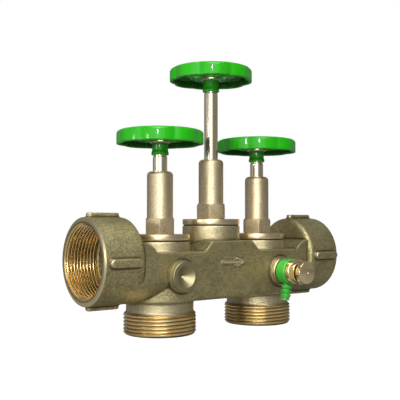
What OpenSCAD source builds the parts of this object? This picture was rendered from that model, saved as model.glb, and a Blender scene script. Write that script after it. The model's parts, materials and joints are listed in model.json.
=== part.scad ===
// Three-valve bypass block: a cast brass body with two pipe sockets, two lower ports and three
// rising-stem valves, and a small drain valve on the front.
// Z = 0 is the plane of the two lower port faces, midway between the ports. +X points to the outlet.

/* [Connections] */
// Distance between the two lower port axes
port_spacing = 87; // [84:0.5:96]
// Length over the two socket mouths
body_len = 202; // [192:1:240]
// Height of the socket axis above the port faces
axis_h = 48.5; // [46:0.5:60]
// Outer diameter of a socket
socket_od = 55; // [54:0.5:60]
// Length of a socket's round outer wall
socket_len = 29; // [27:0.5:34]
// Minor diameter of the socket thread (G 1 1/2)
socket_thread_d = 44.85; // [42:0.05:46]
// Length of the socket thread
socket_thread_len = 19; // [14:0.5:20]
// Outer diameter of the lower port thread (G 1 1/2)
port_thread_d = 47.8; // [46:0.1:48]
// Length of the lower port thread
port_thread_len = 13.8; // [10:0.2:16]
// Outer diameter of the plain neck above the port thread
port_neck_d = 44.5; // [43.5:0.1:45.5]
// Bore of the lower ports
port_bore_d = 39; // [34:0.5:40]
// Bore of the waterway behind the socket thread
waterway_d = 40; // [36:0.5:41]

/* [Casting] */
// Outer diameter of a valve chamber, and depth of the block from front to back
chamber_d = 48; // [48:0.5:52]
// Underside of the block below the socket axis
block_drop = 26.6; // [25:0.1:27]
// Top of the block beside the towers, above the socket axis
bay_rise = 5.2; // [4.6:0.1:6]
// Top of the raised middle of the block, above the socket axis
middle_rise = 12; // [11.5:0.1:13]
// Width of the flat top of the raised middle
middle_w = 35; // [33:0.5:38]
// Radius of the rounded shoulder beside each socket
shoulder_r = 11.7; // [10:0.1:13]
// Diameter of the towers that carry the bonnets
tower_d = 40; // [39:0.5:42]
// Bonnet flange underside above the socket axis, outer valves
side_flange_rise = 12.6; // [12:0.1:15]
// Bonnet flange underside above the socket axis, middle valve
middle_flange_rise = 22.8; // [22:0.1:26]
// Wall between two passages
passage_wall = 4; // [3:0.1:4.5]
// Diameter of the front bosses at their base
boss_d = 20.8; // [19:0.2:22]
// Height of the front bosses' axis below the socket axis
boss_drop = 10; // [8:0.5:12]
// Projection of the blind boss from the front of the block
blind_boss_len = 5; // [3.5:0.1:7]
// Projection of the drain boss from the front of the block
drain_boss_len = 4.4; // [3.5:0.1:7]
// Width of the ribs along the sockets
rib_w = 5.2; // [4:0.1:7]
// Length of the ribs along the sockets
rib_len = 23; // [18:0.5:25]
// Height of the ribs over the socket wall
rib_h = 2.8; // [1.5:0.1:4]

/* [Bonnet] */
// Diameter of the bonnet flange
flange_d = 39.8; // [38:0.2:42]
// Thickness of the bonnet flange
flange_t = 3.8; // [3:0.1:5]
// Diameter of the screwed spigot under the flange
spigot_d = 32.6; // [32:0.1:34]
// Length of the screwed spigot under the flange
spigot_len = 6.5; // [5:0.1:8]
// Size of the bonnet hexagon across flats
bonnet_af = 18.5; // [17.5:0.1:20]
// Height of the bonnet hexagon
bonnet_hex_h = 10.6; // [9:0.1:12]
// Diameter of the bonnet barrel
barrel_d = 17.3; // [16.4:0.1:17.6]
// Top of the barrel above the flange underside
bonnet_h = 45.2; // [44:0.1:50]
// Thickness of the flat gasket under the flange
gasket_t = 0.8; // [0.5:0.1:1.2]
// Width of the flat gasket's ring
gasket_w = 2.9; // [2:0.1:3.2]
// Turn of the left bonnet's hexagon
left_bonnet_turn = 55; // [0:1:60]
// Turn of the middle bonnet's hexagon
middle_bonnet_turn = 44; // [0:1:60]
// Turn of the right bonnet's hexagon
right_bonnet_turn = 56; // [0:1:60]

/* [Spindle and disc] */
// Diameter of the stem
stem_d = 9.6; // [9:0.1:10]
// Diameter of the spindle thread
spindle_thread_d = 12; // [11:0.1:12.4]
// Lift of the disc from closed to open
lift = 9; // [7:0.5:9.5]
// Stem between the bonnet and the handwheel when an outer valve is closed
side_stem_gap = 1.9; // [1:0.1:6]
// Stem between the bonnet and the handwheel when the middle valve is closed
middle_stem_gap = 47.7; // [44:0.1:60]
// Bore of the valve seat
seat_d = 27; // [24:0.5:28]
// Flange underside down to the valve seat
seat_depth = 25.4; // [24.6:0.1:25.8]
// Diameter of the valve disc
disc_d = 31.2; // [30.4:0.1:31.8]
// Thickness of the disc plate
disc_t = 2.5; // [2:0.1:3]
// Thickness of the rubber seat washer
seat_washer_t = 3; // [2.5:0.1:3.5]
// Diameter of the spindle foot that turns in the disc
foot_d = 8; // [7:0.1:8.6]

/* [Handwheel] */
// Diameter over the lobes
wheel_d = 58; // [50:0.5:60]
// Number of lobes on the rim
lobes = 8; // [5:1:12]
// Radius of each lobe
lobe_r = 16; // [14:0.5:20]
// Height of the rim
rim_h = 9.1; // [7:0.1:10]
// Hub underside to rim underside
rim_rise = 7.2; // [5:0.1:8]
// Wall thickness of the rim
rim_t = 2.2; // [1.6:0.1:3]
// Diameter of the hub
hub_d = 10.8; // [10.4:0.1:12]
// Outer diameter of the ring of windows around the hub
window_d = 26; // [22:0.5:30]
// Turn of the left handwheel at rest
left_wheel_turn = 6.5; // [0:0.5:45]
// Turn of the middle handwheel at rest
middle_wheel_turn = 12.5; // [0:0.5:45]
// Turn of the right handwheel at rest
right_wheel_turn = 12.5; // [0:0.5:45]

/* [Drain valve] */
// Outer diameter of the swivelling nozzle collar
nozzle_collar_d = 17.8; // [16.5:0.1:19]
// Length of the swivelling nozzle collar
nozzle_collar_len = 8.2; // [5.4:0.1:9]
// Diameter over the hose barbs
barb_d = 7; // [6.4:0.1:7.6]
// Drain axis down to the open end of the hose nozzle
nozzle_reach = 20; // [17:0.5:26]
// Lean of the hose nozzle from upright, towards the inlet
nozzle_lean = 9; // [0:1:20]
// Diameter of the screwed end of the drain valve (G 1/4)
drain_thread_d = 13.1; // [12:0.1:14]
// Size of the drain hexagon across flats
drain_af = 15; // [14:0.1:16]
// Length of the drain hexagon
drain_hex_len = 4.4; // [4:0.1:8]
// Diameter of the drain screw's round head
drain_head_d = 15.4; // [13:0.1:16]
// Length of the drain screw's round head
drain_head_len = 4.6; // [4:0.1:8]
// Diameter of the drain screw thread (M8 x 1)
drain_screw_d = 8; // [7.8:0.1:8.4]
// Travel of the drain screw
drain_travel = 2; // [1:0.1:2.4]

/* [Fits] */
// Radial clearance of a piece that turns or slides
run_gap = 0.06; // [0.03:0.01:0.08]
// Gap between faces that must not rub
face_gap = 0.3; // [0.2:0.05:0.4]
// Gap left under a closed seat washer
seat_gap = 0.1; // [0.05:0.01:0.15]

/* [Hidden] */
$fn = 96;
over = 1;
port_x = port_spacing / 2;
half_len = body_len / 2;
socket_back = half_len - socket_len;
depth_half = chamber_d / 2;
side_flange_z = axis_h + side_flange_rise;
middle_flange_z = axis_h + middle_flange_rise;
drain_z = axis_h - boss_drop;
block_z = axis_h - block_drop;

// Edge breaks and small roundings
edge = 0.5;
corner_r = 3;
mouth_chamfer = 1.4;
root = 3;
rib_inset = 2.5;
barrel_round = 2.5;

// Details on the front of the block
arrow_half = 9.6;
arrow_shaft_w = 1.7;
arrow_barb_len = 8.6;
arrow_barb_w = 1.3;
arrow_barb_turn = 16;
arrow_drop = 2.3;
arrow_raise = 0.7;
dish_r = 6.3;
dish_floor_r = 2.9;
dish_depth = 3;

// Pipe thread form
thread_h = 1.48;
socket_relief_len = 3;

// Passages
chamber_bore_d = 38;
wall_spare = 0.2;
ceiling_rise = bay_rise - passage_wall - wall_spare;
lip_h = 1;
lip_w = 1.7;
duct_half_w = 13;
socket_duct_half_w = 17;
duct_bend = 8;
duct_step = 2;
pocket_floor = block_z + passage_wall + edge;

// Valve heights, measured from the flange underside with the valve closed
seat_z = -seat_depth;
washer_z = seat_z + seat_gap;
plate_z = washer_z + seat_washer_t;
hub_z = plate_z + disc_t;
disc_hub_h = 6.2;
disc_hub_top = hub_z + disc_hub_h;
disc_hub_d = 16;
collar_z = disc_hub_top + face_gap;
nut_zone_h = 14;
spigot_bore_d = 24.6;
spindle_thread_top = nut_zone_h + 2;
stud_d = 6;
stud_nut_t = 5;
stud_washer_t = 1;
stud_end = washer_z - stud_washer_t - stud_nut_t - 1;
small_nut_af = 10;
nut_washer_d = 15;
gasket_inset = 0.7;
gasket_d = flange_d - 2 * gasket_inset;
gasket_bore_d = gasket_d - 2 * gasket_w;

// Clip between the spindle foot and the disc
clip_z = hub_z + disc_hub_h / 2;
clip_wire_d = 1.1;
clip_groove_h = 1.4;
clip_mid_r = foot_d / 2 + 0.1;

// Stem seals
barrel_bore_r = spindle_thread_d / 2 + 0.5;
seal_bore_r = stem_d / 2 + 2.1;
bush_h = 4.6;
seal_wire_d = seal_bore_r - stem_d / 2 - run_gap;
seal_shelf_z = bonnet_h - bush_h - 2 * seal_wire_d - 2.2;
seal_shelf_t = 2;

// Handwheel, measured from the hub underside
rim_top = rim_rise + rim_h;
hub_h = 12.4;
wheel_r = wheel_d / 2;
lobe_offset = wheel_r - lobe_r;
web_in_z = 9.6;
web_t = 2.8;
web_out_z = rim_top - 2.4;
square_af = 6.4;
square_sunk = 0.4;
wheel_washer_t = 1.2;
wheel_nut_t = 4.2;
stud_proud = 0.6;

// Drain valve, measured outwards from the front of the block
boss_face = depth_half + drain_boss_len;
collar_y = boss_face + face_gap / 2;
collar_end = collar_y + nozzle_collar_len;
tail_inset = 3.6;
tail_y = collar_y + tail_inset;
ring_len = 3.6;
drain_ring_d = 16.2;
hex_y = collar_end + face_gap / 2 + ring_len;
hex_end = hex_y + drain_hex_len;
drain_hex_turn = 30;
head_gap = 1.2;
drain_stem_d = 12;
drain_bore_d = 4;
drain_depth = 8;
drain_space_d = 7.4;
drain_seat = boss_face - 3;
drain_washer_t = 1.6;
drain_washer_y = drain_seat + seat_gap;
drain_shank_d = 5;
drain_seal_wire = drain_space_d / 2 - drain_shank_d / 2 + 0.1 - run_gap;
drain_seal_inset = 0.35;
drain_seal_y = collar_end - drain_seal_inset;
drain_land = 0.6;
drain_groove_w = drain_seal_wire + 0.2;
drain_thread_y = drain_seal_y + drain_groove_w / 2 + drain_land + drain_travel + face_gap;
seal_inset = 0.9;
nozzle_seal_wire = 1;
nozzle_bore_d = 3.6;

cast_brass = "#8a7c55";
turned_brass = "#d9b36a";
blasted_brass = "#b79c6e";
green_enamel = "#2fb81f";
black_rubber = "#202020";
steel_wire = "#b8bcc0";

// Points on an arc about (cx, cy), from angle a0 to angle a1 in n steps
function arc(cx, cy, r, a0, a1, n) =
    [for (i = [0:n]) let (a = a0 + (a1 - a0) * i / n) [cx + r * cos(a), cy + r * sin(a)]];

// Turns a piece drawn along +Z to lie along +X or, with side = -1, along -X
module along_x(side = 1) {
    rotate([0, 90 * side, 0]) children();
}

// Places a piece drawn along +Z so that it points out of the front of the block
module out_of_front(x) {
    translate([x, 0, drain_z]) rotate([90, 0, 0]) children();
}

// Draws a flat outline in X and Z and gives it depth along Y
module through_block(half) {
    translate([0, half, 0]) rotate([90, 0, 0]) linear_extrude(2 * half) children();
}

module hex_bar(af, h) {
    intersection() {
        cylinder(d = af / cos(30), h = h, $fn = 6);
        rotate_extrude() polygon([
            [0, 0],
            [af / 2, 0],
            [af / 2 / cos(30) + 0.1, af * 0.045],
            [af / 2 / cos(30) + 0.1, h - af * 0.045],
            [af / 2, h],
            [0, h]
        ]);
    }
}

module socket_wall() {
    r = socket_od / 2;
    rotate_extrude() polygon(concat(
        [[0, socket_back]],
        arc(r - corner_r, socket_back + corner_r, corner_r, -90, 0, 6),
        [[r, half_len - edge], [r - edge, half_len], [0, half_len]]
    ));
}

// One raised rib with round ends, drawn on the +Z side of a socket
module socket_rib() {
    mid = half_len - rib_inset - rib_len / 2;
    run = rib_len / 2 - rib_w / 2;
    h = root + rib_h;
    translate([mid, 0, socket_od / 2 - root]) {
        for (end = [-1, 1]) translate([end * run, 0, 0]) {
            cylinder(d = rib_w, h = h - edge);
            cylinder(d = rib_w - 2 * edge, h = h);
        }
        translate([-run, -rib_w / 2, 0]) cube([2 * run, rib_w, h - edge]);
        translate([-run, edge - rib_w / 2, 0]) cube([2 * run, rib_w - 2 * edge, h]);
    }
}

module socket_ribs() {
    for (turn = [0, 90, 180, 270]) rotate([turn, 0, 0]) socket_rib();
}

// Outline of the block between a chamber and its socket, seen from the front
module shoulder_outline() {
    start = asin(bay_rise / shoulder_r);
    inside_socket = socket_back + corner_r + over;
    polygon(concat(
        [[port_x - over, axis_h - socket_od / 2 - over], [inside_socket, axis_h - socket_od / 2 - over]],
        [[inside_socket, axis_h + shoulder_r]],
        arc(socket_back, axis_h, shoulder_r, 90, 180 - start, 8),
        [[port_x - over, axis_h + bay_rise]]
    ));
}

// Outline of the block between the two outer chambers, seen from the front
module middle_outline() {
    slope = middle_rise - bay_rise;
    polygon([
        [-port_x, block_z],
        [port_x, block_z],
        [port_x, axis_h + bay_rise],
        [middle_w / 2 + slope, axis_h + bay_rise],
        [middle_w / 2, axis_h + middle_rise],
        [-middle_w / 2, axis_h + middle_rise],
        [-middle_w / 2 - slope, axis_h + bay_rise],
        [-port_x, axis_h + bay_rise]
    ]);
}

// Cross-section of the block, with its lower long edges rounded
module block_section() {
    translate([-depth_half, block_z + corner_r]) square([2 * depth_half, middle_rise + block_drop]);
    translate([-depth_half + corner_r, block_z]) square([2 * (depth_half - corner_r), corner_r + over]);
    for (side = [-1, 1]) translate([side * (depth_half - corner_r), block_z + corner_r]) circle(corner_r);
}

module port_outside(x) {
    translate([x, 0, 0]) rotate_extrude() polygon([
        [0, 0],
        [port_thread_d / 2 - thread_h, 0],
        [port_thread_d / 2, thread_h],
        [port_thread_d / 2, port_thread_len],
        [port_neck_d / 2, port_thread_len + edge],
        [port_neck_d / 2, block_z - edge],
        [depth_half - edge, block_z],
        [depth_half, block_z + edge],
        [depth_half, axis_h + bay_rise],
        [0, axis_h + bay_rise]
    ]);
}

module tower(x, flange_z) {
    translate([x, 0, axis_h]) cylinder(d = tower_d, h = flange_z - gasket_t - axis_h);
}

module front_boss(x, len) {
    face_r = boss_d / 2 - edge;
    out_of_front(x) rotate_extrude() polygon([
        [0, depth_half - root],
        [boss_d / 2, depth_half - root],
        [boss_d / 2, depth_half + len / 2 - edge],
        [face_r, depth_half + len / 2],
        [face_r, depth_half + len - edge],
        [face_r - edge, depth_half + len],
        [0, depth_half + len]
    ]);
}

// One stroke of the flow arrow with round ends, drawn back from the tip
module arrow_stroke(len, w) {
    for (x = [-len, 0]) translate([x, 0, -edge]) cylinder(d = w, h = arrow_raise + edge);
    translate([-len, -w / 2, -edge]) cube([len, w, arrow_raise + edge]);
}

// Cast flow arrow, raised on the front of the block
module flow_arrow() {
    translate([arrow_half, -depth_half, axis_h - arrow_drop]) rotate([90, 0, 0]) {
        arrow_stroke(2 * arrow_half, arrow_shaft_w);
        for (side = [-1, 1]) rotate(side * arrow_barb_turn) arrow_stroke(arrow_barb_len, arrow_barb_w);
    }
}

module body_outside() {
    for (side = [-1, 1]) {
        translate([0, 0, axis_h]) along_x(side) socket_wall();
        mirror([side < 0 ? 1 : 0, 0, 0]) {
            translate([0, 0, axis_h]) socket_ribs();
            intersection() {
                through_block(depth_half) shoulder_outline();
                translate([0, 0, axis_h]) along_x() cylinder(d = socket_od, h = socket_back + corner_r + over);
            }
        }
        port_outside(side * port_x);
        tower(side * port_x, side_flange_z);
    }
    intersection() {
        through_block(depth_half) middle_outline();
        translate([-port_x, 0, 0]) rotate([90, 0, 90]) linear_extrude(port_spacing) block_section();
    }
    tower(0, middle_flange_z);
    front_boss(-port_x, blind_boss_len);
    front_boss(port_x, drain_boss_len);
    flow_arrow();
}

// Threaded mouth, relief groove and waterway of a socket
module socket_bore() {
    r = socket_thread_d / 2;
    thread_end = half_len - socket_thread_len;
    relief_end = thread_end - socket_relief_len;
    rotate_extrude() polygon([
        [0, socket_back + passage_wall],
        [waterway_d / 2, socket_back + passage_wall],
        [waterway_d / 2, relief_end],
        [r + thread_h, relief_end],
        [r + thread_h, thread_end],
        [r, thread_end],
        [r, half_len - mouth_chamfer],
        [r + mouth_chamfer, half_len],
        [r + mouth_chamfer, half_len + over],
        [0, half_len + over]
    ]);
}

// Flat duct from a socket into its chamber, seen from the front
module socket_duct_outline() {
    floor_z = side_flange_z - seat_depth - lip_h;
    top_z = axis_h + ceiling_rise;
    start_x = socket_back + passage_wall + over;
    bend_x = socket_back - duct_step;
    low_z = axis_h - waterway_d / 2 + duct_step / 2;
    high_z = axis_h + shoulder_r - passage_wall;
    polygon([
        [port_x, floor_z],
        [port_x + chamber_bore_d / 2, floor_z],
        [bend_x, low_z],
        [start_x, low_z],
        [start_x, high_z],
        [bend_x, high_z],
        [port_x + chamber_bore_d / 2, top_z],
        [port_x, top_z]
    ]);
}

// Duct from the left chamber to the space under the middle seat
module low_duct_outline() {
    floor_z = side_flange_z - seat_depth - lip_h;
    deck_z = middle_flange_z - seat_depth - passage_wall;
    wall_x = chamber_bore_d / 2 - port_x;
    end_x = seat_d / 2 - duct_step;
    polygon([
        [wall_x - over, floor_z],
        [wall_x, floor_z],
        [wall_x + duct_bend, pocket_floor],
        [end_x, pocket_floor],
        [end_x, deck_z],
        [wall_x + duct_bend, deck_z],
        [wall_x, axis_h + ceiling_rise],
        [wall_x - over, axis_h + ceiling_rise]
    ]);
}

// Duct from the space over the middle seat to the right chamber
module high_duct_outline() {
    floor_z = side_flange_z - seat_depth - lip_h;
    over_seat = middle_flange_z - seat_depth;
    wall_x = port_x - chamber_bore_d / 2;
    low_z = floor_z + duct_step;
    roof_z = axis_h + middle_rise - passage_wall - duct_step / 2;
    polygon([
        [0, over_seat],
        [spigot_d / 2, over_seat],
        [wall_x, low_z],
        [wall_x + over, low_z],
        [wall_x + over, axis_h + ceiling_rise],
        [wall_x, axis_h + ceiling_rise],
        [middle_w / 2, roof_z],
        [0, roof_z]
    ]);
}

// Tower bore and seat of one valve, with the raised seat lip left standing
module valve_space(x, flange_z, chamber_r, roof_z) {
    seat = flange_z - seat_depth;
    translate([x, 0, 0]) {
        translate([0, 0, seat]) cylinder(d = spigot_d, h = seat_depth + over);
        rotate_extrude() polygon([
            [seat_d / 2 + lip_w, seat - lip_h],
            [chamber_r, seat - lip_h],
            [chamber_r, roof_z],
            [0, roof_z],
            [0, seat],
            [seat_d / 2 + lip_w, seat]
        ]);
        translate([0, 0, seat - passage_wall - over]) cylinder(d = seat_d, h = passage_wall + 2 * over);
    }
}

module port_bore(x) {
    seat_deck = side_flange_z - seat_depth - passage_wall - lip_h;
    translate([x, 0, -over]) cylinder(d = port_bore_d, h = seat_deck + over);
}

module drain_hole() {
    out_of_front(port_x) {
        translate([0, 0, boss_face - drain_depth - edge]) cylinder(d = drain_thread_d, h = drain_depth + edge + over);
        cylinder(d = drain_bore_d, h = boss_face);
    }
}

module blind_dish() {
    face = depth_half + blind_boss_len;
    out_of_front(-port_x) rotate_extrude() polygon([
        [0, face - dish_depth],
        [dish_floor_r, face - dish_depth + edge],
        [dish_r, face],
        [dish_r, face + over],
        [0, face + over]
    ]);
}

module valve_body() {
    color(cast_brass) difference() {
        body_outside();
        for (side = [-1, 1]) {
            translate([0, 0, axis_h]) along_x(side) socket_bore();
            mirror([side < 0 ? 1 : 0, 0, 0]) intersection() {
                through_block(socket_duct_half_w) socket_duct_outline();
                translate([0, 0, axis_h]) along_x() cylinder(d = waterway_d + 1, h = half_len);
            }
            valve_space(side * port_x, side_flange_z, chamber_bore_d / 2, axis_h + ceiling_rise);
            port_bore(side * port_x);
        }
        valve_space(0, middle_flange_z, spigot_d / 2, axis_h + ceiling_rise);
        through_block(duct_half_w) low_duct_outline();
        through_block(duct_half_w) high_duct_outline();
        drain_hole();
        blind_dish();
    }
}

// Bonnet, with its flange underside at z = 0
module bonnet(turn) {
    hex_z = flange_t;
    hex_top = hex_z + bonnet_hex_h;
    r = barrel_d / 2;
    color(blasted_brass) difference() {
        union() {
            translate([0, 0, -spigot_len]) cylinder(d = spigot_d, h = spigot_len - gasket_t);
            translate([0, 0, -gasket_t]) cylinder(d = gasket_bore_d, h = gasket_t + over);
            rotate_extrude() polygon([
                [0, 0],
                [flange_d / 2 - edge, 0],
                [flange_d / 2, edge],
                [flange_d / 2, flange_t - edge],
                [flange_d / 2 - edge, flange_t],
                [0, flange_t]
            ]);
            rotate([0, 0, turn]) translate([0, 0, hex_z - over]) hex_bar(bonnet_af, bonnet_hex_h + over);
            rotate_extrude() polygon(concat(
                [[0, hex_top - over], [r + 0.1, hex_top - over]],
                arc(r - barrel_round, bonnet_h - barrel_round, barrel_round, 0, 90, 6),
                [[0, bonnet_h]]
            ));
        }
        translate([0, 0, -spigot_len - over]) cylinder(d = spigot_bore_d, h = spigot_len + over);
        translate([0, 0, -over]) cylinder(r = spindle_thread_d / 2 + run_gap, h = nut_zone_h + 2 * over);
        translate([0, 0, nut_zone_h]) cylinder(r = barrel_bore_r, h = seal_shelf_z - nut_zone_h - seal_shelf_t);
        translate([0, 0, nut_zone_h]) cylinder(r = stem_d / 2 + run_gap, h = bonnet_h);
        translate([0, 0, seal_shelf_z]) cylinder(r = seal_bore_r, h = bonnet_h);
    }
}

module bonnet_gasket() {
    color(black_rubber) translate([0, 0, -gasket_t]) difference() {
        cylinder(d = gasket_d, h = gasket_t);
        translate([0, 0, -over]) cylinder(d = gasket_bore_d, h = gasket_t + 2 * over);
    }
}

module gland_bush() {
    color(turned_brass) translate([0, 0, bonnet_h - bush_h]) difference() {
        cylinder(r = seal_bore_r, h = bush_h);
        translate([0, 0, -over]) cylinder(r = stem_d / 2 + run_gap, h = bush_h + 2 * over);
    }
}

// Two O-rings on the stem under the gland bush
module stem_seals() {
    mid_r = seal_bore_r - seal_wire_d / 2;
    color(black_rubber) for (z = [seal_shelf_z + seal_wire_d / 2, bonnet_h - bush_h - seal_wire_d / 2])
        translate([0, 0, z]) rotate_extrude() translate([mid_r, 0]) circle(d = seal_wire_d, $fn = 24);
}

// Spindle with the valve closed; wheel_z is the shoulder that the handwheel stands on
module spindle(wheel_z) {
    foot_z = hub_z + 0.5 + face_gap;
    r = spindle_thread_d / 2;
    groove_r = clip_mid_r - clip_wire_d / 2 - 0.15;
    square_top = wheel_z + hub_h - square_sunk;
    stud_len = square_sunk + wheel_washer_t + wheel_nut_t + stud_proud;
    color(turned_brass) {
        rotate_extrude() polygon([
            [0, foot_z],
            [foot_d / 2 - 0.4, foot_z],
            [foot_d / 2, foot_z + 0.4],
            [foot_d / 2, clip_z - clip_groove_h / 2],
            [groove_r, clip_z - clip_groove_h / 2],
            [groove_r, clip_z + clip_groove_h / 2],
            [foot_d / 2, clip_z + clip_groove_h / 2],
            [foot_d / 2, collar_z],
            [r - edge, collar_z],
            [r, collar_z + edge],
            [r, spindle_thread_top - 0.6],
            [stem_d / 2, spindle_thread_top + 0.6],
            [stem_d / 2, wheel_z],
            [0, wheel_z]
        ]);
        translate([-square_af / 2, -square_af / 2, wheel_z - over])
            cube([square_af, square_af, square_top - wheel_z + over]);
        translate([0, 0, square_top - over]) cylinder(d = stud_d, h = stud_len + over);
    }
}

// Valve disc with the valve closed
module valve_disc() {
    groove_r = clip_mid_r + clip_wire_d / 2;
    color(turned_brass) difference() {
        union() {
            translate([0, 0, plate_z]) cylinder(d = disc_d, h = disc_t);
            translate([0, 0, hub_z - over]) cylinder(d = disc_hub_d, h = disc_hub_h + over);
            translate([0, 0, stud_end]) cylinder(d = stud_d, h = plate_z - stud_end + over);
        }
        translate([0, 0, hub_z + 0.5]) cylinder(r = foot_d / 2 + run_gap, h = disc_hub_h + over);
        translate([0, 0, clip_z - clip_groove_h / 2]) cylinder(r = groove_r, h = clip_groove_h);
    }
}

// Open wire ring that keeps the spindle foot in the disc
module disc_clip() {
    color(steel_wire) difference() {
        translate([0, 0, clip_z]) rotate_extrude() translate([clip_mid_r, 0]) circle(d = clip_wire_d, $fn = 24);
        translate([0, -1, clip_z - clip_wire_d]) cube([foot_d, 2, 2 * clip_wire_d]);
    }
}

module seat_washer() {
    color(black_rubber) translate([0, 0, washer_z]) difference() {
        cylinder(d = disc_d - 0.6, h = seat_washer_t);
        translate([0, 0, -over]) cylinder(d = stud_d, h = seat_washer_t + 2 * over);
    }
}

// Washer and hexagon nut that hold the rubber on the disc
module disc_nut() {
    color(turned_brass) difference() {
        union() {
            translate([0, 0, washer_z - stud_washer_t]) cylinder(d = nut_washer_d, h = stud_washer_t);
            translate([0, 0, washer_z - stud_washer_t - stud_nut_t]) hex_bar(small_nut_af, stud_nut_t + 0.5);
        }
        translate([0, 0, stud_end - over]) cylinder(d = stud_d, h = washer_z - stud_end + 2 * over);
    }
}

// Lobed outline, drawn in by a wall
module lobed(wall) {
    circle(r = lobe_offset + lobe_r / 2);
    for (i = [0:lobes - 1]) rotate(i * 360 / lobes) translate([lobe_offset, 0]) circle(r = lobe_r - wall);
}

// Handwheel with its hub underside at z = 0
module handwheel() {
    spokes = 4;
    spoke_w = 4.4;
    crest = wheel_r - 2.9;
    crest_r = 3.3;
    web_r = window_d / 2 + 1;
    web_top = web_in_z + web_t;
    color(green_enamel) difference() {
        union() {
            difference() {
                intersection() {
                    translate([0, 0, rim_rise]) linear_extrude(rim_h) lobed(0);
                    rotate_extrude() polygon(concat(
                        [[0, 0], [crest + crest_r, 0]],
                        arc(crest, rim_top - crest_r, crest_r, 0, 90, 6),
                        [[crest - crest_r, rim_top - 0.4], [web_r, web_top], [0, web_top]]
                    ));
                }
                intersection() {
                    translate([0, 0, rim_rise - over]) linear_extrude(rim_h) lobed(rim_t);
                    rotate_extrude() polygon([
                        [0, 0],
                        [wheel_r, 0],
                        [wheel_r, web_out_z - 2],
                        [crest - 1, web_out_z],
                        [crest - crest_r, web_out_z],
                        [web_r, web_in_z],
                        [0, web_in_z]
                    ]);
                }
                difference() {
                    translate([0, 0, rim_rise]) cylinder(d = window_d, h = rim_h);
                    for (i = [0:spokes - 1]) rotate(i * 360 / spokes)
                        translate([0, -spoke_w / 2, rim_rise]) cube([window_d, spoke_w, rim_h]);
                    cylinder(d = hub_d + 2, h = rim_top);
                }
            }
            rotate_extrude() polygon([
                [0, 0],
                [hub_d / 2, 0],
                [hub_d / 2 + 0.5, 0.5],
                [hub_d / 2 + 0.5, 1.4],
                [hub_d / 2 - 0.1, 3.2],
                [hub_d / 2 + 0.1, web_in_z - 2],
                [hub_d / 2 + 1.6, web_in_z],
                [hub_d / 2 + 1.6, hub_h - edge],
                [hub_d / 2 + 1.1, hub_h],
                [0, hub_h]
            ]);
        }
        translate([-square_af / 2, -square_af / 2, -over]) cube([square_af, square_af, hub_h + 2 * over]);
    }
}

module wheel_washer() {
    color(steel_wire) translate([0, 0, hub_h]) difference() {
        cylinder(d = hub_d + 2, h = wheel_washer_t);
        translate([0, 0, -over]) cylinder(d = stud_d, h = wheel_washer_t + 2 * over);
    }
}

module wheel_nut() {
    color(steel_wire) translate([0, 0, hub_h + wheel_washer_t]) difference() {
        hex_bar(small_nut_af, wheel_nut_t);
        translate([0, 0, -over]) cylinder(d = stud_d, h = wheel_nut_t + 2 * over);
    }
}

// Drain valve body: screwed end, stem through the nozzle, collar and hexagon
module drain_body() {
    color(turned_brass) out_of_front(port_x) difference() {
        union() {
            translate([0, 0, boss_face - drain_depth]) cylinder(d = drain_thread_d, h = drain_depth);
            translate([0, 0, boss_face - over]) cylinder(d = drain_stem_d, h = hex_y - boss_face + over);
            translate([0, 0, hex_y - ring_len]) cylinder(d = drain_ring_d, h = ring_len + over);
            translate([0, 0, hex_y]) rotate(drain_hex_turn) hex_bar(drain_af, drain_hex_len);
        }
        translate([0, 0, boss_face - drain_depth - over]) cylinder(d = drain_bore_d, h = drain_depth);
        translate([0, 0, drain_seat]) cylinder(d = drain_space_d, h = hex_end - drain_seat);
        translate([0, 0, drain_thread_y])
            cylinder(d = drain_screw_d + 2 * run_gap, h = hex_end - drain_thread_y + over);
        for (turn = [0, 90]) rotate(turn) translate([0, 0, tail_y])
            rotate([90, 0, 0]) cylinder(d = 2.4, h = drain_stem_d + 2, center = true);
        for (y = [collar_y + seal_inset, collar_end - seal_inset]) translate([0, 0, y]) nozzle_seal_groove();
    }
}

module nozzle_seal_groove() {
    rotate_extrude() translate([drain_stem_d / 2 - nozzle_seal_wire, -nozzle_seal_wire / 2 - 0.1])
        square([nozzle_seal_wire + over, nozzle_seal_wire + 0.2]);
}

// Green swivelling nozzle: collar around the drain stem, and a barbed hose tail
module drain_nozzle() {
    r = nozzle_collar_d / 2;
    tail_r = barb_d / 2;
    barb = 3.2;
    color(green_enamel) out_of_front(port_x) rotate([0, 0, -nozzle_lean]) difference() {
        union() {
            rotate_extrude() polygon([
                [drain_stem_d / 2 - 1, collar_y],
                [r - edge, collar_y],
                [r, collar_y + edge],
                [r, collar_end - edge],
                [r - edge, collar_end],
                [drain_stem_d / 2 - 1, collar_end]
            ]);
            translate([0, 0, tail_y]) rotate([90, 0, 0]) rotate_extrude() polygon(concat(
                [[0, drain_stem_d / 2], [tail_r - 0.6, drain_stem_d / 2], [tail_r - 0.6, nozzle_reach - 3 * barb]],
                [for (i = [3:-1:1], p = [0, 1]) p == 0
                    ? [tail_r, nozzle_reach - i * barb + 0.3]
                    : [tail_r - 0.6, nozzle_reach - (i - 1) * barb]],
                [[0, nozzle_reach]]
            ));
        }
        translate([0, 0, collar_y - over]) cylinder(r = drain_stem_d / 2 + run_gap, h = nozzle_collar_len + 2 * over);
        translate([0, 0, tail_y]) rotate([90, 0, 0]) cylinder(d = nozzle_bore_d, h = nozzle_reach + over);
    }
}

module drain_nozzle_seals() {
    mid_r = drain_stem_d / 2 - nozzle_seal_wire / 2;
    color(black_rubber) out_of_front(port_x) for (y = [collar_y + seal_inset, collar_end - seal_inset])
        translate([0, 0, y]) rotate_extrude() translate([mid_r, 0]) circle(d = nozzle_seal_wire, $fn = 24);
}

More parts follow.
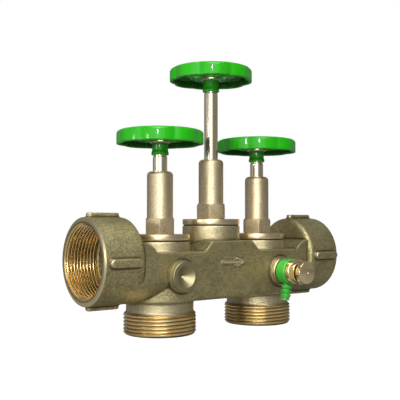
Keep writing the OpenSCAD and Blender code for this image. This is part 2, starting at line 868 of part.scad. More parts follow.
// Drain screw, closed: its tip presses the rubber washer on the seat
module drain_screw() {
    tip = drain_washer_y + drain_washer_t;
    head_y = hex_end + head_gap;
    color(turned_brass) out_of_front(port_x) difference() {
        union() {
            rotate_extrude() polygon([
                [0, tip],
                [drain_space_d / 2 - 0.3, tip],
                [drain_space_d / 2 - 0.3, tip + 0.8],
                [drain_shank_d / 2, tip + 0.8],
                [drain_shank_d / 2, drain_seal_y - drain_groove_w / 2 - drain_land],
                [drain_space_d / 2 - 0.1, drain_seal_y - drain_groove_w / 2 - drain_land],
                [drain_space_d / 2 - 0.1, drain_seal_y - drain_groove_w / 2],
                [drain_shank_d / 2 - 0.1, drain_seal_y - drain_groove_w / 2],
                [drain_shank_d / 2 - 0.1, drain_seal_y + drain_groove_w / 2],
                [drain_space_d / 2 - 0.1, drain_seal_y + drain_groove_w / 2],
                [drain_space_d / 2 - 0.1, drain_thread_y + face_gap],
                [drain_screw_d / 2, drain_thread_y + face_gap],
                [drain_screw_d / 2, head_y + over],
                [0, head_y + over]
            ]);
            translate([0, 0, head_y]) rotate_extrude() polygon([
                [0, 0],
                [drain_head_d / 2 - 0.6, 0],
                [drain_head_d / 2, 0.6],
                [drain_head_d / 2, drain_head_len - 0.7],
                [drain_head_d / 2 - 0.7, drain_head_len],
                [0, drain_head_len]
            ]);
        }
        translate([0, 0, head_y + drain_head_len]) sphere(d = 1.2, $fn = 24);
    }
}

module drain_screw_seal() {
    mid_r = drain_shank_d / 2 - 0.1 + drain_seal_wire / 2;
    color(black_rubber) out_of_front(port_x)
        translate([0, 0, drain_seal_y]) rotate_extrude() translate([mid_r, 0]) circle(d = drain_seal_wire, $fn = 24);
}

module drain_seat_washer() {
    color(black_rubber) out_of_front(port_x)
        translate([0, 0, drain_washer_y]) cylinder(d = drain_space_d - 0.6, h = drain_washer_t);
}

// Puts a piece drawn in the valve's own frame on one of the three valve axes
module at_valve(x, flange_z, raised = 0) {
    translate([x, 0, flange_z + raised]) children();
}

module at_left(raised = 0) { at_valve(-port_x, side_flange_z, raised) children(); }
module at_middle(raised = 0) { at_valve(0, middle_flange_z, raised) children(); }
module at_right(raised = 0) { at_valve(port_x, side_flange_z, raised) children(); }

side_wheel_z = bonnet_h + side_stem_gap;
middle_wheel_z = bonnet_h + middle_stem_gap;

module on_left_spindle() { at_left(lift + side_wheel_z) rotate(left_wheel_turn) children(); }
module on_middle_spindle() { at_middle(middle_wheel_z) rotate(middle_wheel_turn) children(); }
module on_right_spindle() { at_right(lift + side_wheel_z) rotate(right_wheel_turn) children(); }

valve_body();

at_left() bonnet(left_bonnet_turn);  // left_bonnet
at_left() bonnet_gasket();  // left_bonnet_gasket
at_left() gland_bush();  // left_gland_bush
at_left() stem_seals();  // left_stem_seals
at_left(lift) rotate(left_wheel_turn) spindle(side_wheel_z);  // left_spindle
at_left(lift) valve_disc();  // left_disc
at_left(lift) disc_clip();  // left_disc_clip
at_left(lift) seat_washer();  // left_seat_washer
at_left(lift) disc_nut();  // left_disc_nut
on_left_spindle() handwheel();  // left_handwheel
on_left_spindle() wheel_washer();  // left_wheel_washer
on_left_spindle() wheel_nut();  // left_wheel_nut

at_middle() bonnet(middle_bonnet_turn);  // middle_bonnet
at_middle() bonnet_gasket();  // middle_bonnet_gasket
at_middle() gland_bush();  // middle_gland_bush
at_middle() stem_seals();  // middle_stem_seals
at_middle() rotate(middle_wheel_turn) spindle(middle_wheel_z);  // middle_spindle
at_middle() valve_disc();  // middle_disc
at_middle() disc_clip();  // middle_disc_clip
at_middle() seat_washer();  // middle_seat_washer
at_middle() disc_nut();  // middle_disc_nut
on_middle_spindle() handwheel();  // middle_handwheel
on_middle_spindle() wheel_washer();  // middle_wheel_washer
on_middle_spindle() wheel_nut();  // middle_wheel_nut

at_right() bonnet(right_bonnet_turn);  // right_bonnet
at_right() bonnet_gasket();  // right_bonnet_gasket
at_right() gland_bush();  // right_gland_bush
at_right() stem_seals();  // right_stem_seals
at_right(lift) rotate(right_wheel_turn) spindle(side_wheel_z);  // right_spindle
at_right(lift) valve_disc();  // right_disc
at_right(lift) disc_clip();  // right_disc_clip
at_right(lift) seat_washer();  // right_seat_washer
at_right(lift) disc_nut();  // right_disc_nut
on_right_spindle() handwheel();  // right_handwheel
on_right_spindle() wheel_washer();  // right_wheel_washer
on_right_spindle() wheel_nut();  // right_wheel_nut

drain_body();
drain_nozzle();
drain_nozzle_seals();
drain_screw();
drain_screw_seal();
drain_seat_washer();
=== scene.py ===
"""Looks of the three-valve bypass block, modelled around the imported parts."""

import json
import math
from contextlib import contextmanager

import bpy
import numpy as np
from bpy.props import FloatProperty, FloatVectorProperty, IntProperty, PointerProperty
from bpy.types import Operator, Panel, PropertyGroup
from mathutils import Matrix, Vector


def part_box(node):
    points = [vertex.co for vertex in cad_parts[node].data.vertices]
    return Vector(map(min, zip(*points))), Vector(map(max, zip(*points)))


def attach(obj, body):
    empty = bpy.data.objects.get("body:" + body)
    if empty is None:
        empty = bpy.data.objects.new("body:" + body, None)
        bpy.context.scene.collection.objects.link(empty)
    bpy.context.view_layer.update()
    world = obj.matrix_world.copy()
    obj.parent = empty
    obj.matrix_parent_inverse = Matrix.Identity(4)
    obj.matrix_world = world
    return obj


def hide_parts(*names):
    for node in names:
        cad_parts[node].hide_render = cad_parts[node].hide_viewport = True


bl_info = {
    "name": "Three-Valve Bypass Block",
    "version": (1, 0, 0),
    "blender": (4, 5, 0),
    "location": "3D View > Sidebar > Block",
    "description": "Models the casting, threads, bonnets, wheels and drain valve of a bypass block",
    "category": "Object",
}

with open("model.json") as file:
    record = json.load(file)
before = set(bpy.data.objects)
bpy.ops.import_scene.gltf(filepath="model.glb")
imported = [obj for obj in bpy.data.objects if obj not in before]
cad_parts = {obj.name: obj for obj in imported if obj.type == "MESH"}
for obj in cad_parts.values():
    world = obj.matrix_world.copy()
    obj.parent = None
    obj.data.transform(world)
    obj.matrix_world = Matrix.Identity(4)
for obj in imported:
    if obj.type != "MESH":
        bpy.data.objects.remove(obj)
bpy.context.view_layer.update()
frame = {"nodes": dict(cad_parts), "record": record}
MM = 0.001
SIDES = ("left", "middle", "right")
# Degrees by which the wheels and the bonnets' hexagons stand turned, from left to right
WHEEL_TURNS = (6.5, 12.5, 12.5)
BONNET_TURNS = (55, 44, 56)
STOCK = 2.5  # Millimetres of casting left on the ends that are machined
BED_WALL, SLEEVE_WALL = 0.9, 0.95  # A socket's thread sleeve sinks a little into its bed
TOOL_REACH = 6  # How far a tool reaches past the face that it makes
ALONG_X = Matrix.Rotation(math.radians(90), 4, "Y")
AGAINST_X = Matrix.Rotation(math.radians(-90), 4, "Y")
OUT_OF_FRONT = Matrix.Rotation(math.radians(90), 4, "X")
UPRIGHT = Matrix.Identity(4)


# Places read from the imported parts

def low(node):
    return Vector(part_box(node)[0])


def high(node):
    return Vector(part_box(node)[1])


def middle(node):
    return (low(node) + high(node)) / 2


def valve_foot(side):
    """The point where a valve's axis meets the underside of its bonnet flange."""
    gasket = f"{side}_bonnet_gasket"
    return Vector((middle(gasket).x, 0, high(gasket).z))


def wheel_foot(side):
    """The point where a valve's axis meets the underside of its handwheel's hub."""
    return Vector((valve_foot(side).x, 0, low(f"{side}_handwheel").z))


def drain_axis(depth):
    """A point on the drain valve's axis, so far in front of the block's middle plane."""
    return Vector((middle("drain_screw").x, -depth, middle("drain_screw").z))


# Settings

def length(name, default, description):
    return FloatProperty(
        name=name, description=description, default=default * MM, unit="LENGTH", precision=5
    )


def angle(name, default, description):
    return FloatProperty(
        name=name, description=description, default=math.radians(default), subtype="ANGLE"
    )


def count(name, default, description):
    return IntProperty(name=name, description=description, default=default)


def colour(name, default, description):
    return FloatVectorProperty(
        name=name, description=description, default=default, subtype="COLOR", size=3
    )


class CastingSettings(PropertyGroup):
    grid: length("Grid", 0.55, "Size of the cells that the casting's skin is drawn in")
    rounding: count("Rounding", 6, "Smoothing passes over the raw casting")
    fillet: count("Fillet", 14, "Smoothing passes over the corners of the raw casting")
    faces: count("Faces", 250000, "Triangles that the casting's skin is thinned to")
    grain: length("Grain", 0.8, "Size of the sand grain")
    socket_radius: length("Socket radius", 27.5, "Radius of the outside of a socket")
    front_wall: length("Front wall", 24, "Distance of the front wall from the middle plane")
    blind_face: length("Blind boss", 29, "Distance of the blind boss's face from the middle plane")
    arrow: length("Arrow", 17.4, "Length of the cast arrow")
    barb: length("Barb", 7.4, "Length of the arrow's barbs")
    skin: colour("Skin", (0.53, 0.475, 0.235), "Colour of the sand-cast brass")
    stain: colour("Stain", (0.27, 0.23, 0.10), "Colour of the darker stains")
    bare: colour("Bare edge", (0.74, 0.62, 0.42), "Colour where an edge is rubbed bare")
    mouth: colour("Mouth", (0.80, 0.69, 0.43), "Colour of the sockets' faced ends")
    # The arrow is lighter than the skin, partly from wear and partly as a painted highlight on its
    # raised strokes.
    rubbed_and_highlit: colour("Rubbed arrow", (0.93, 0.84, 0.60), "Colour of the cast arrow, rubbed a little")
    faced: colour("Faced boss", (0.74, 0.64, 0.42), "Colour of the drain boss's face")
    dished: colour("Dished boss", (0.40, 0.35, 0.20), "Colour of the blind boss's dull dish")


class ThreadSettings(PropertyGroup):
    pitch: length("Pitch", 2.309, "Pitch of the pipe threads")
    height: length("Height", 1.48, "Height of the pipe threads")
    root_radius: length("Root radius", 22.42, "Radius at the foot of the lower ports' threads")
    port_length: length("Port thread", 13.8, "Length of the lower ports' threads")
    socket_length: length("Socket thread", 21.2, "Length of the sockets' threads")
    relief: length("Relief", 0.8, "Length of the groove behind the sockets' threads")
    mouth_chamfer: length("Mouth chamfer", 1.4, "Chamfer at the mouth of a socket")
    brass: colour("Brass", (0.98, 0.80, 0.46), "Colour of the machined brass")
    # A deeper gold than the ports' brass: the sockets' own brass, with the reflections between
    # their walls painted in.
    inside: colour("Inside", (0.97, 0.75, 0.37), "Colour of the brass inside the sockets")


class BonnetSettings(PropertyGroup):
    flange_radius: length("Flange radius", 19.9, "Radius of the flange")
    flange: length("Flange", 3.8, "Thickness of the flange")
    hexagon: length("Hexagon", 18.5, "Size of the hexagon across flats")
    hexagon_height: length("Hexagon height", 10.6, "Height of the hexagon")
    barrel_radius: length("Barrel radius", 8.65, "Radius of the barrel")
    barrel_top: length("Barrel top", 45.2, "Top of the barrel over the flange's underside")
    brass: colour("Blasted brass", (0.66, 0.54, 0.34), "Colour of the blasted brass")
    faced: colour("Flange", (0.86, 0.72, 0.44), "Colour of the turned flange")


class WheelSettings(PropertyGroup):
    grid: length("Grid", 0.45, "Size of the cells that the wheel's skin is drawn in")
    rounding: count("Rounding", 5, "Smoothing passes over the raw wheel")
    fillet: count("Fillet", 110, "Smoothing passes over the corners of the raw wheel")
    faces: count("Faces", 50000, "Triangles that the wheel's skin is thinned to")
    green: colour("Enamel", (0.014, 0.40, 0.001), "Colour of the enamel")


class SpindleSettings(PropertyGroup):
    stem_radius: length("Stem radius", 4.8, "Radius of the polished stem")
    thread_radius: length("Thread radius", 6, "Radius of the spindle's thread")
    brass: colour("Brass", (0.82, 0.73, 0.53), "Colour of the polished stem")


class DrainSettings(PropertyGroup):
    boss_face: length("Boss face", 28.4, "Distance of the drain boss's face from the middle plane")
    hexagon: length("Hexagon", 15, "Size of the hexagon across flats")
    head_radius: length("Head radius", 7.7, "Radius of the screw's round head")
    head_length: length("Head length", 4.6, "Length of the screw's round head")
    collar_radius: length("Collar radius", 8.9, "Radius of the nozzle's collar")
    collar: length("Collar", 8.2, "Length of the nozzle's collar")
    reach: length("Reach", 20, "Drain axis down to the open end of the nozzle")
    grid: length("Grid", 0.22, "Size of the cells that the nozzle's skin is drawn in")
    grip_turn: angle("Grip turn", 30, "Turn of the hexagon")
    lean: angle("Lean", 9, "Lean of the nozzle towards the inlet")
    plastic: colour("Plastic", (0.032, 0.45, 0.028), "Colour of the nozzle's plastic")


class StageSettings(PropertyGroup):
    eye: FloatVectorProperty(
        name="Eye", description="Place of the camera",
        default=(-0.30978, -0.38152, 0.07192), subtype="TRANSLATION",
    )
    turn: angle("Turn", -38.18, "Turn of the camera from looking along +Y")
    tilt: angle("Tilt", 1.93, "Tilt of the camera above level")
    lens: FloatProperty(
        name="Lens", description="Focal length of the camera", default=63.15, unit="CAMERA"
    )


def settings(name):
    return getattr(bpy.context.scene, name)


# Modelling steps

def pick(*pieces):
    """Selects these pieces alone. The last one is active."""
    bpy.ops.object.select_all(action="DESELECT")
    for piece in pieces:
        piece.select_set(True)
    bpy.context.view_layer.objects.active = pieces[-1]


@contextmanager
def editing(piece):
    """Edit mode on one piece, with all of its mesh selected."""
    pick(piece)
    bpy.ops.object.mode_set(mode="EDIT")
    bpy.ops.mesh.select_all(action="SELECT")
    yield
    bpy.ops.object.mode_set(mode="OBJECT")


def named(name):
    """The piece that an operator has just added, under its own name."""
    piece = bpy.context.active_object
    piece.name = piece.data.name = name
    return piece


def turned(name, outline, sides=96):
    """A piece turned on a lathe: a circle drawn along +Z through an outline of (radius, height)
    points in millimetres. An outline that ends where it starts makes a ring, and any other gets
    flat ends."""
    bpy.ops.object.select_all(action="DESELECT")
    radius, height = outline[0]
    bpy.ops.mesh.primitive_circle_add(
        vertices=sides, radius=radius * MM, location=(0, 0, height * MM)
    )
    piece = named(name)
    bpy.ops.object.transform_apply(location=True, rotation=True, scale=True)
    with editing(piece):
        for next_radius, next_height in outline[1:]:
            bpy.ops.mesh.extrude_region_move(
                TRANSFORM_OT_translate={"value": (0, 0, (next_height - height) * MM)}
            )
            share = next_radius / radius
            bpy.ops.transform.resize(value=(share, share, 1), center_override=(0, 0, 0))
            radius, height = next_radius, next_height
        bpy.ops.mesh.select_all(action="SELECT")
        bpy.ops.mesh.remove_doubles(threshold=0.002 * MM)
        bpy.ops.mesh.fill_holes(sides=0)
        bpy.ops.mesh.select_all(action="SELECT")
        bpy.ops.mesh.normals_make_consistent(inside=False)
    return piece


def ring(name, inner, outer, bottom, top, sides=96):
    """A flat ring round +Z, in millimetres."""
    outline = [(inner, bottom), (outer, bottom), (outer, top), (inner, top), (inner, bottom)]
    return turned(name, outline, sides)


def bar(name, width, depth, height, at=(0, 0, 0)):
    """A square-edged bar round a point, in millimetres."""
    bpy.ops.object.select_all(action="DESELECT")
    bpy.ops.mesh.primitive_cube_add(
        size=1, location=[x * MM for x in at], scale=(width * MM, depth * MM, height * MM)
    )
    piece = named(name)
    bpy.ops.object.transform_apply(location=True, rotation=True, scale=True)
    return piece


def traced(name, points):
    """A closed flat outline in the X and Z plane, drawn point by point in millimetres."""
    bpy.ops.object.select_all(action="DESELECT")
    (x, z), *rest = points
    bpy.ops.mesh.primitive_plane_add(size=MM, location=(x * MM, 0, z * MM))
    piece = named(name)
    bpy.ops.object.transform_apply(location=True, rotation=True, scale=True)
    with editing(piece):
        bpy.ops.mesh.merge(type="CENTER")
        for next_x, next_z in rest:
            step = ((next_x - x) * MM, 0, (next_z - z) * MM)
            bpy.ops.mesh.extrude_region_move(TRANSFORM_OT_translate={"value": step})
            x, z = next_x, next_z
        bpy.ops.mesh.select_all(action="SELECT")
        bpy.ops.mesh.edge_face_add()
        bpy.ops.mesh.delete(type="ONLY_FACE")
    return piece


def modify(piece, kind, **values):
    """Adds a modifier with these values and applies it."""
    pick(piece)
    step = piece.modifiers.new(kind.lower(), kind)
    for key, value in values.items():
        setattr(step, key, value)
    bpy.ops.object.modifier_apply(modifier=step.name)


def bevelled(piece, width, segments=2, sharper=28):
    """Breaks the edges sharper than so many degrees by a width in millimetres."""
    modify(
        piece, "BEVEL", width=width * MM, segments=segments, limit_method="ANGLE",
        angle_limit=math.radians(sharper),
    )


def joined(name, *pieces):
    pick(*pieces)
    bpy.ops.object.join()
    return named(name)


def cut(piece, tool, operation="DIFFERENCE"):
    """Cuts a tool out of a piece and throws the tool away. The cut faces keep its finish."""
    modify(
        piece, "BOOLEAN", object=tool, operation=operation, solver="MANIFOLD",
        material_mode="TRANSFER",
    )
    bpy.data.objects.remove(tool)


def settled(piece, at, lay=UPRIGHT, turn=0.0):
    """Turns a piece about its own axis by degrees, lays it the right way, puts it in its place
    and writes that in its mesh."""
    pick(piece)
    piece.matrix_world = Matrix.Translation(at) @ lay @ Matrix.Rotation(math.radians(turn), 4, "Z")
    bpy.ops.object.transform_apply(location=True, rotation=True, scale=True)
    return piece


def smooth(piece, flatter=32):
    """Shades the edges flatter than so many degrees smooth."""
    pick(piece)
    bpy.ops.object.shade_smooth_by_angle(angle=math.radians(flatter))


def dressed(piece, body, material=None, nodes=()):
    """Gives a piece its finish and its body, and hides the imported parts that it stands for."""
    if material:
        piece.data.materials.clear()
        piece.data.materials.append(material)
    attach(piece, body)
    if nodes:
        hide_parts(*nodes)
    return piece


def copied(piece, name):
    """A copy of a piece with its own mesh."""
    twin = bpy.data.objects.new(name, piece.data.copy())
    bpy.context.collection.objects.link(twin)
    return twin


def with_stock(piece, at, out, radius):
    """Moves a flat end outwards, so that the casting has something to be machined off. The radius
    round the point is in millimetres."""
    mesh = piece.data
    places = np.empty(len(mesh.vertices) * 3)
    mesh.vertices.foreach_get("co", places)
    offset = places.reshape(-1, 3) - np.array(at)
    along = offset @ np.array(out)
    aside = np.linalg.norm(offset - along[:, None] * np.array(out), axis=1)
    with editing(piece):
        bpy.ops.mesh.select_all(action="DESELECT")
        bpy.ops.object.mode_set(mode="OBJECT")
        mesh.vertices.foreach_set("select", (abs(along) < 0.1 * MM) & (aside < radius * MM))
        bpy.ops.object.mode_set(mode="EDIT")
        bpy.ops.transform.translate(value=Vector(out) * STOCK * MM)


def raw_casting(node, name, look, ends=()):
    """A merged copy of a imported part, redrawn as one soft skin the way a casting comes out of its
    mould. Its ends that are machined later get some stock."""
    piece = bpy.data.objects.new(name, frame["nodes"][node].data.copy())
    bpy.context.collection.objects.link(piece)
    piece.data.materials.clear()
    with editing(piece):
        bpy.ops.mesh.remove_doubles(threshold=0.001 * MM)
    for end in ends:
        with_stock(piece, *end)
    modify(piece, "REMESH", mode="VOXEL", voxel_size=look.grid)
    filleted(piece, look.fillet)
    modify(piece, "SMOOTH", factor=0.5, iterations=look.rounding)
    note_edges(piece)
    share = look.faces / (2 * len(piece.data.polygons))
    if share < 1:
        modify(piece, "DECIMATE", ratio=share)
    return piece


def bends(piece, passes):
    """How sharply the skin bends at each vertex, as one over metres: positive on edges and
    negative in corners. Each pass evens that out between neighbours."""
    mesh = piece.data
    total = len(mesh.vertices)
    places = np.empty(total * 3)
    mesh.vertices.foreach_get("co", places)
    places = places.reshape(-1, 3)
    normals = np.empty(total * 3)
    mesh.vertex_normals.foreach_get("vector", normals)
    normals = normals.reshape(-1, 3)
    ends = np.empty(len(mesh.edges) * 2, dtype=int)
    mesh.edges.foreach_get("vertices", ends)
    first, second = ends.reshape(-1, 2).T
    run = places[second] - places[first]
    reach = np.maximum((run ** 2).sum(1), 1e-12)
    bend = ((normals[second] - normals[first]) * run).sum(1) / reach
    added = sum(np.bincount(end, bend, total) for end in (first, second))
    uses = np.maximum(sum(np.bincount(end, minlength=total) for end in (first, second)), 1)
    value = added / uses
    for _ in range(passes):
        spread = np.bincount(first, value[second], total) + np.bincount(second, value[first], total)
        value = 0.5 * value + 0.5 * spread / uses
    return value


def note_edges(piece):
    """Stores how far each vertex stands out (above 0.5) or lies in a corner (below 0.5), and
    never 0, which is left for vertices that come later. A radius of 1.5 mm counts in full."""
    sharpest = 1 / (1.5 * MM)
    stored = piece.data.attributes.new("edge", "FLOAT", "POINT")
    stored.data.foreach_set("value", np.clip(0.5 + 0.5 * bends(piece, 2) / sharpest, 0.01, 1))


def note_tool_edges(piece):
    """Marks the vertices that the tools have added, which have no note yet, as on an edge."""
    no_note, on_an_edge = 0.005, 0.8
    stored = piece.data.attributes["edge"].data
    value = np.empty(len(stored))
    stored.foreach_get("value", value)
    value[value < no_note] = on_an_edge
    stored.foreach_set("value", value)


def filleted(piece, passes):
    """Softens the corners of a raw casting and leaves the edges that stand out."""
    value = bends(piece, 4)
    group = piece.vertex_groups.new(name="corners")
    slight, sharp, sharpest = -130, -300, -1e6
    for share, lowest, highest in ((0.5, sharp, slight), (1.0, sharpest, sharp)):
        found = np.nonzero((value >= lowest) & (value < highest))[0]
        group.add(found.tolist(), share, "REPLACE")
    modify(piece, "SMOOTH", factor=0.5, iterations=passes, vertex_group="corners")
    piece.vertex_groups.clear()


# Finishes

class Value:
    """A socket in a finish, so that sums on what varies over a surface read as sums."""

    def __init__(self, finish, socket):
        self.finish = finish
        self.socket = socket

    def __add__(self, other):
        return self.finish.maths("ADD", self, other)

    def __radd__(self, other):
        return self.finish.maths("ADD", other, self)

    def __sub__(self, other):
        return self.finish.maths("SUBTRACT", self, other)

    def __rsub__(self, other):
        return self.finish.maths("SUBTRACT", other, self)

    def __mul__(self, other):
        return self.finish.maths("MULTIPLY", self, other)

    def __rmul__(self, other):
        return self.finish.maths("MULTIPLY", other, self)


class Nodes:
    """The nodes of a material or a world in the making."""

    def __init__(self, owner, output):
        owner.use_nodes = True
        self.tree = owner.node_tree
        self.tree.nodes.clear()
        self.surface = self.tree.nodes.new(output).inputs["Surface"]

    def feed(self, socket, value):
        if isinstance(value, Value):
            self.tree.links.new(value.socket, socket)
        else:
            socket.default_value = value

    def node(self, kind, setting=None, inputs=None, output=0):
        """Adds a node with its settings, then the values or links of its sockets, and gives one
        of its outputs."""
        made = self.tree.nodes.new(kind)
        for key, value in (setting or {}).items():
            if key == "stops":
                while len(made.color_ramp.elements) < len(value):
                    made.color_ramp.elements.new(0.5)
                for element, (at, share) in zip(made.color_ramp.elements, value):
                    element.position = at
                    element.color = (share, share, share, 1)
            else:
                setattr(made, key, value)
        for key, value in (inputs or {}).items():
            self.feed(made.inputs[key], value)
        return Value(self, made.outputs[output])

    def maths(self, operation, first, second=0.0):
        return self.node("ShaderNodeMath", {"operation": operation}, {0: first, 1: second})

    def vectors(self, operation, inputs, output=0):
        return self.node("ShaderNodeVectorMath", {"operation": operation}, inputs, output)

    def seen(self):
        """1 for what the camera sees itself, and 0 for the light that a thing throws."""
        return self.node("ShaderNodeLightPath", output="Is Camera Ray")

    def show(self, share, first, second):
        """Shows two shaders mixed by a share."""
        inputs = {0: share, 1: first, 2: second}
        self.feed(self.surface, self.node("ShaderNodeMixShader", None, inputs))


class Finish(Nodes):
    """A procedural material in the making."""

    def __init__(self, name, **constants):
        self.material = bpy.data.materials.new(name)
        super().__init__(self.material, "ShaderNodeOutputMaterial")
        shader = self.tree.nodes.new("ShaderNodeBsdfPrincipled")
        self.inputs = shader.inputs
        self.shader = Value(self, shader.outputs[0])
        self.feed(self.surface, self.shader)
        self.place = self.node("ShaderNodeTexCoord", output="Object")
        self.done(**constants)

    def noise(self, size, detail=3.0, roughness=0.55, place=None, stretch=None):
        """Noise whose lumps have a size in metres."""
        vector = place or self.place
        if stretch:
            vector = self.vectors("MULTIPLY", {0: vector, 1: stretch})
        inputs = {"Vector": vector, "Scale": 1 / size, "Detail": detail, "Roughness": roughness}
        return self.node("ShaderNodeTexNoise", None, inputs)

    def ramp(self, value, *stops):
        """A share that stands at (value, share) stops and is even between them."""
        return self.node("ShaderNodeValToRGB", {"stops": stops}, {"Fac": value})

    def within(self, value, outside, inside):
        """0 beyond one length in millimetres, 1 beyond the other, and even between them."""
        share = (value - outside * MM) * (1 / ((inside - outside) * MM))
        return self.ramp(share, (0.0, 0.0), (1.0, 1.0))

    def mix(self, share, first, second):
        """Two colours mixed by a share."""
        shades = [(*c, 1) if isinstance(c, tuple) else c for c in (first, second)]
        inputs = {0: share, 6: shades[0], 7: shades[1]}
        return self.node("ShaderNodeMix", {"data_type": "RGBA"}, inputs, output=2)

    def bump(self, height, distance, strength, normal=None):
        """A bump from a height of 0 to 1 that stands for a distance in metres."""
        inputs = {"Height": height, "Distance": distance, "Strength": strength}
        if normal:
            inputs["Normal"] = normal
        return self.node("ShaderNodeBump", None, inputs)

    def around(self, centre, axis):
        """The distance from an axis and the height along it, for marks left by turning."""
        offset = self.vectors("SUBTRACT", {0: self.place, 1: tuple(centre)})
        along = self.vectors("DOT_PRODUCT", {0: offset, 1: tuple(axis)}, output="Value")
        foot = self.vectors("SCALE", {0: tuple(axis), "Scale": along})
        away = self.vectors("SUBTRACT", {0: offset, 1: foot})
        return self.vectors("LENGTH", {0: away}, output="Value"), along

    def rings(self, radius, along):
        """Fine rings left by turning."""
        turn = self.node("ShaderNodeCombineXYZ", None, {"X": radius, "Y": along})
        return self.noise(1.0, detail=2.0, place=turn, stretch=(7000, 7000, 0))

    def edges(self):
        """The note on how far each point stands out or lies in a corner."""
        return self.node("ShaderNodeAttribute", {"attribute_name": "edge"}, output="Fac")

    def shaded(self, reach):
        """How deep a point lies in a recess, 0 to 1, as far as its surroundings reach over it: the
        mask for painted shade.
        """
        open_share = self.node(
            "ShaderNodeAmbientOcclusion", {"samples": 8}, {"Distance": reach}, output="AO"
        )
        return self.ramp(open_share, (0.30, 1.0), (0.85, 0.0))

    def thrown(self, shade, dim):
        """A colour that the camera sees, with a dimmer one for the light that it throws."""
        return self.mix(self.seen(), dim, shade)

    def done(self, **values):
        """Sets or links sockets of the shader and gives the material."""
        for key, value in values.items():
            self.feed(self.inputs[key.replace("_", " ").title().replace("Ior", "IOR")], value)
        return self.material


def tint(values, share=1.0):
    """A colour, darkened to a share of itself."""
    return tuple(value * share for value in values)


def turned_collars(made):
    """Where the casting was turned, 0 to 1: under the bonnets and over the ports' threads."""
    towers = [(valve_foot(side), (23, 22), (-10.5, -8)) for side in SIDES]
    necks = [((side * port_x(), 0, 0), (26, 24.5), (24.5, 21)) for side in (1, -1)]
    share = 0.0
    for foot, wall, run in towers + necks:
        radius, along = made.around(foot, (0, 0, 1))
        share = share + made.within(radius, *wall) * made.within(along, *run)
    return share


def cast_brass(name):
    """Sand-cast brass: coarse grain and soft stains, lighter on edges that stand out, as wear and
    as a painted highlight, and with painted shade in corners and recesses."""
    look = settings("block_casting")
    # Darker colours: the pits and dirt of the sand, then the painted shade of corners and recesses.
    pit, dirt, crevice_shade, recess = (
        (0.13, 0.108, 0.045), (0.15, 0.12, 0.05), (0.06, 0.045, 0.018), (0.10, 0.075, 0.03),
    )
    made = Finish(name, metallic=0.94)
    grain = made.noise(look.grain, detail=4.0, roughness=0.65)
    speck = made.noise(look.grain * 2.4, detail=3.0)
    cloud = made.noise(13 * MM, detail=4.0)
    stain = made.ramp(cloud, (0.35, 0.0), (0.75, 0.6))
    edge = made.edges()
    # Edges that stand out turn to bare brass: partly wear, partly a painted highlight.
    worn_and_highlit = made.ramp(edge + (speck - 0.5) * 0.25, (0.64, 0.0), (0.92, 0.45))
    # Painted shade in the corners, where the skin bends inwards.
    corner = made.ramp(edge, (0.30, 1.0), (0.47, 0.0))
    collar = turned_collars(made)
    base = made.mix(stain, tint(look.skin), tint(look.stain))
    for share, shade in (
        (made.ramp(grain, (0.34, 1.0), (0.52, 0.0)) * 0.8, pit),
        (made.ramp(grain, (0.52, 0.0), (0.68, 1.0)) * 0.5, tint(look.bare)),
        (made.ramp(speck, (0.40, 0.3), (0.52, 0.0)), dirt),
        (corner * 0.8, crevice_shade),
        # Painted shade in recesses, as deep as each point is closed in.
        (made.shaded(4 * MM) * 0.6, recess),
        (worn_and_highlit, tint(look.bare)),
        (collar * 0.4, tint(look.bare)),
    ):
        base = made.mix(share, base, shade)
    rough = 0.43 + (grain - 0.5) * 0.3 - worn_and_highlit * 0.15 + stain * 0.06 - collar * 0.08
    relief = made.bump(grain, 0.40 * MM, 0.8)
    relief = made.bump(speck, 0.45 * MM, 0.45, relief)
    return made.done(base_color=base, roughness=rough, normal=relief)


def machined_brass(name, centre, axis, roughness, marks=0.10, root_shade=None, brass=None):
    """Bright brass as it comes off the lathe, with fine rings round its axis. Root shade gives a
    dark and a light radius in millimetres, for threads with shade painted at the root."""
    shade = tint(brass or settings("block_thread").brass)
    made = Finish(name, metallic=1.0)
    radius, along = made.around(centre, axis)
    rings = made.rings(radius, along)
    cloud = made.noise(6 * MM)
    base = made.mix(made.ramp(cloud, (0.4, 0.0), (0.7, 0.5)), shade, tint(shade, 0.80))
    rough = roughness + (rings - 0.5) * 0.15 + (cloud - 0.5) * 0.10
    if root_shade:
        # Painted shade at the root of the thread, fading out towards the crest.
        dark_radius, light_radius = (limit * MM for limit in root_shade)
        share = made.ramp((radius - dark_radius) * (1 / (light_radius - dark_radius)), (0.0, 0.7), (0.4, 0.0))
        base = made.mix(share, base, (0.09, 0.05, 0.016))
        rough = rough + share * 0.3
    relief = made.bump(rings, marks * 0.1 * MM, 0.5)
    return made.done(base_color=base, roughness=rough, normal=relief)


def blasted_brass(name):
    """Light brass with the even, fine pitting of blasting."""
    look = settings("block_bonnet")
    made = Finish(name, metallic=0.92)
    pits = made.noise(0.95 * MM, detail=4.0, roughness=0.65)
    cloud = made.noise(7 * MM)
    cloudy = made.ramp(cloud, (0.38, 0.0), (0.72, 0.6))
    base = made.mix(cloudy, tint(look.brass), tint(look.brass, 0.78))
    base = made.mix(made.ramp(pits, (0.34, 0.8), (0.50, 0.0)), base, tint(look.brass, 0.45))
    rough = 0.42 + (pits - 0.5) * 0.2
    relief = made.bump(pits, 0.30 * MM, 0.7)
    return made.done(base_color=base, roughness=rough, normal=relief)


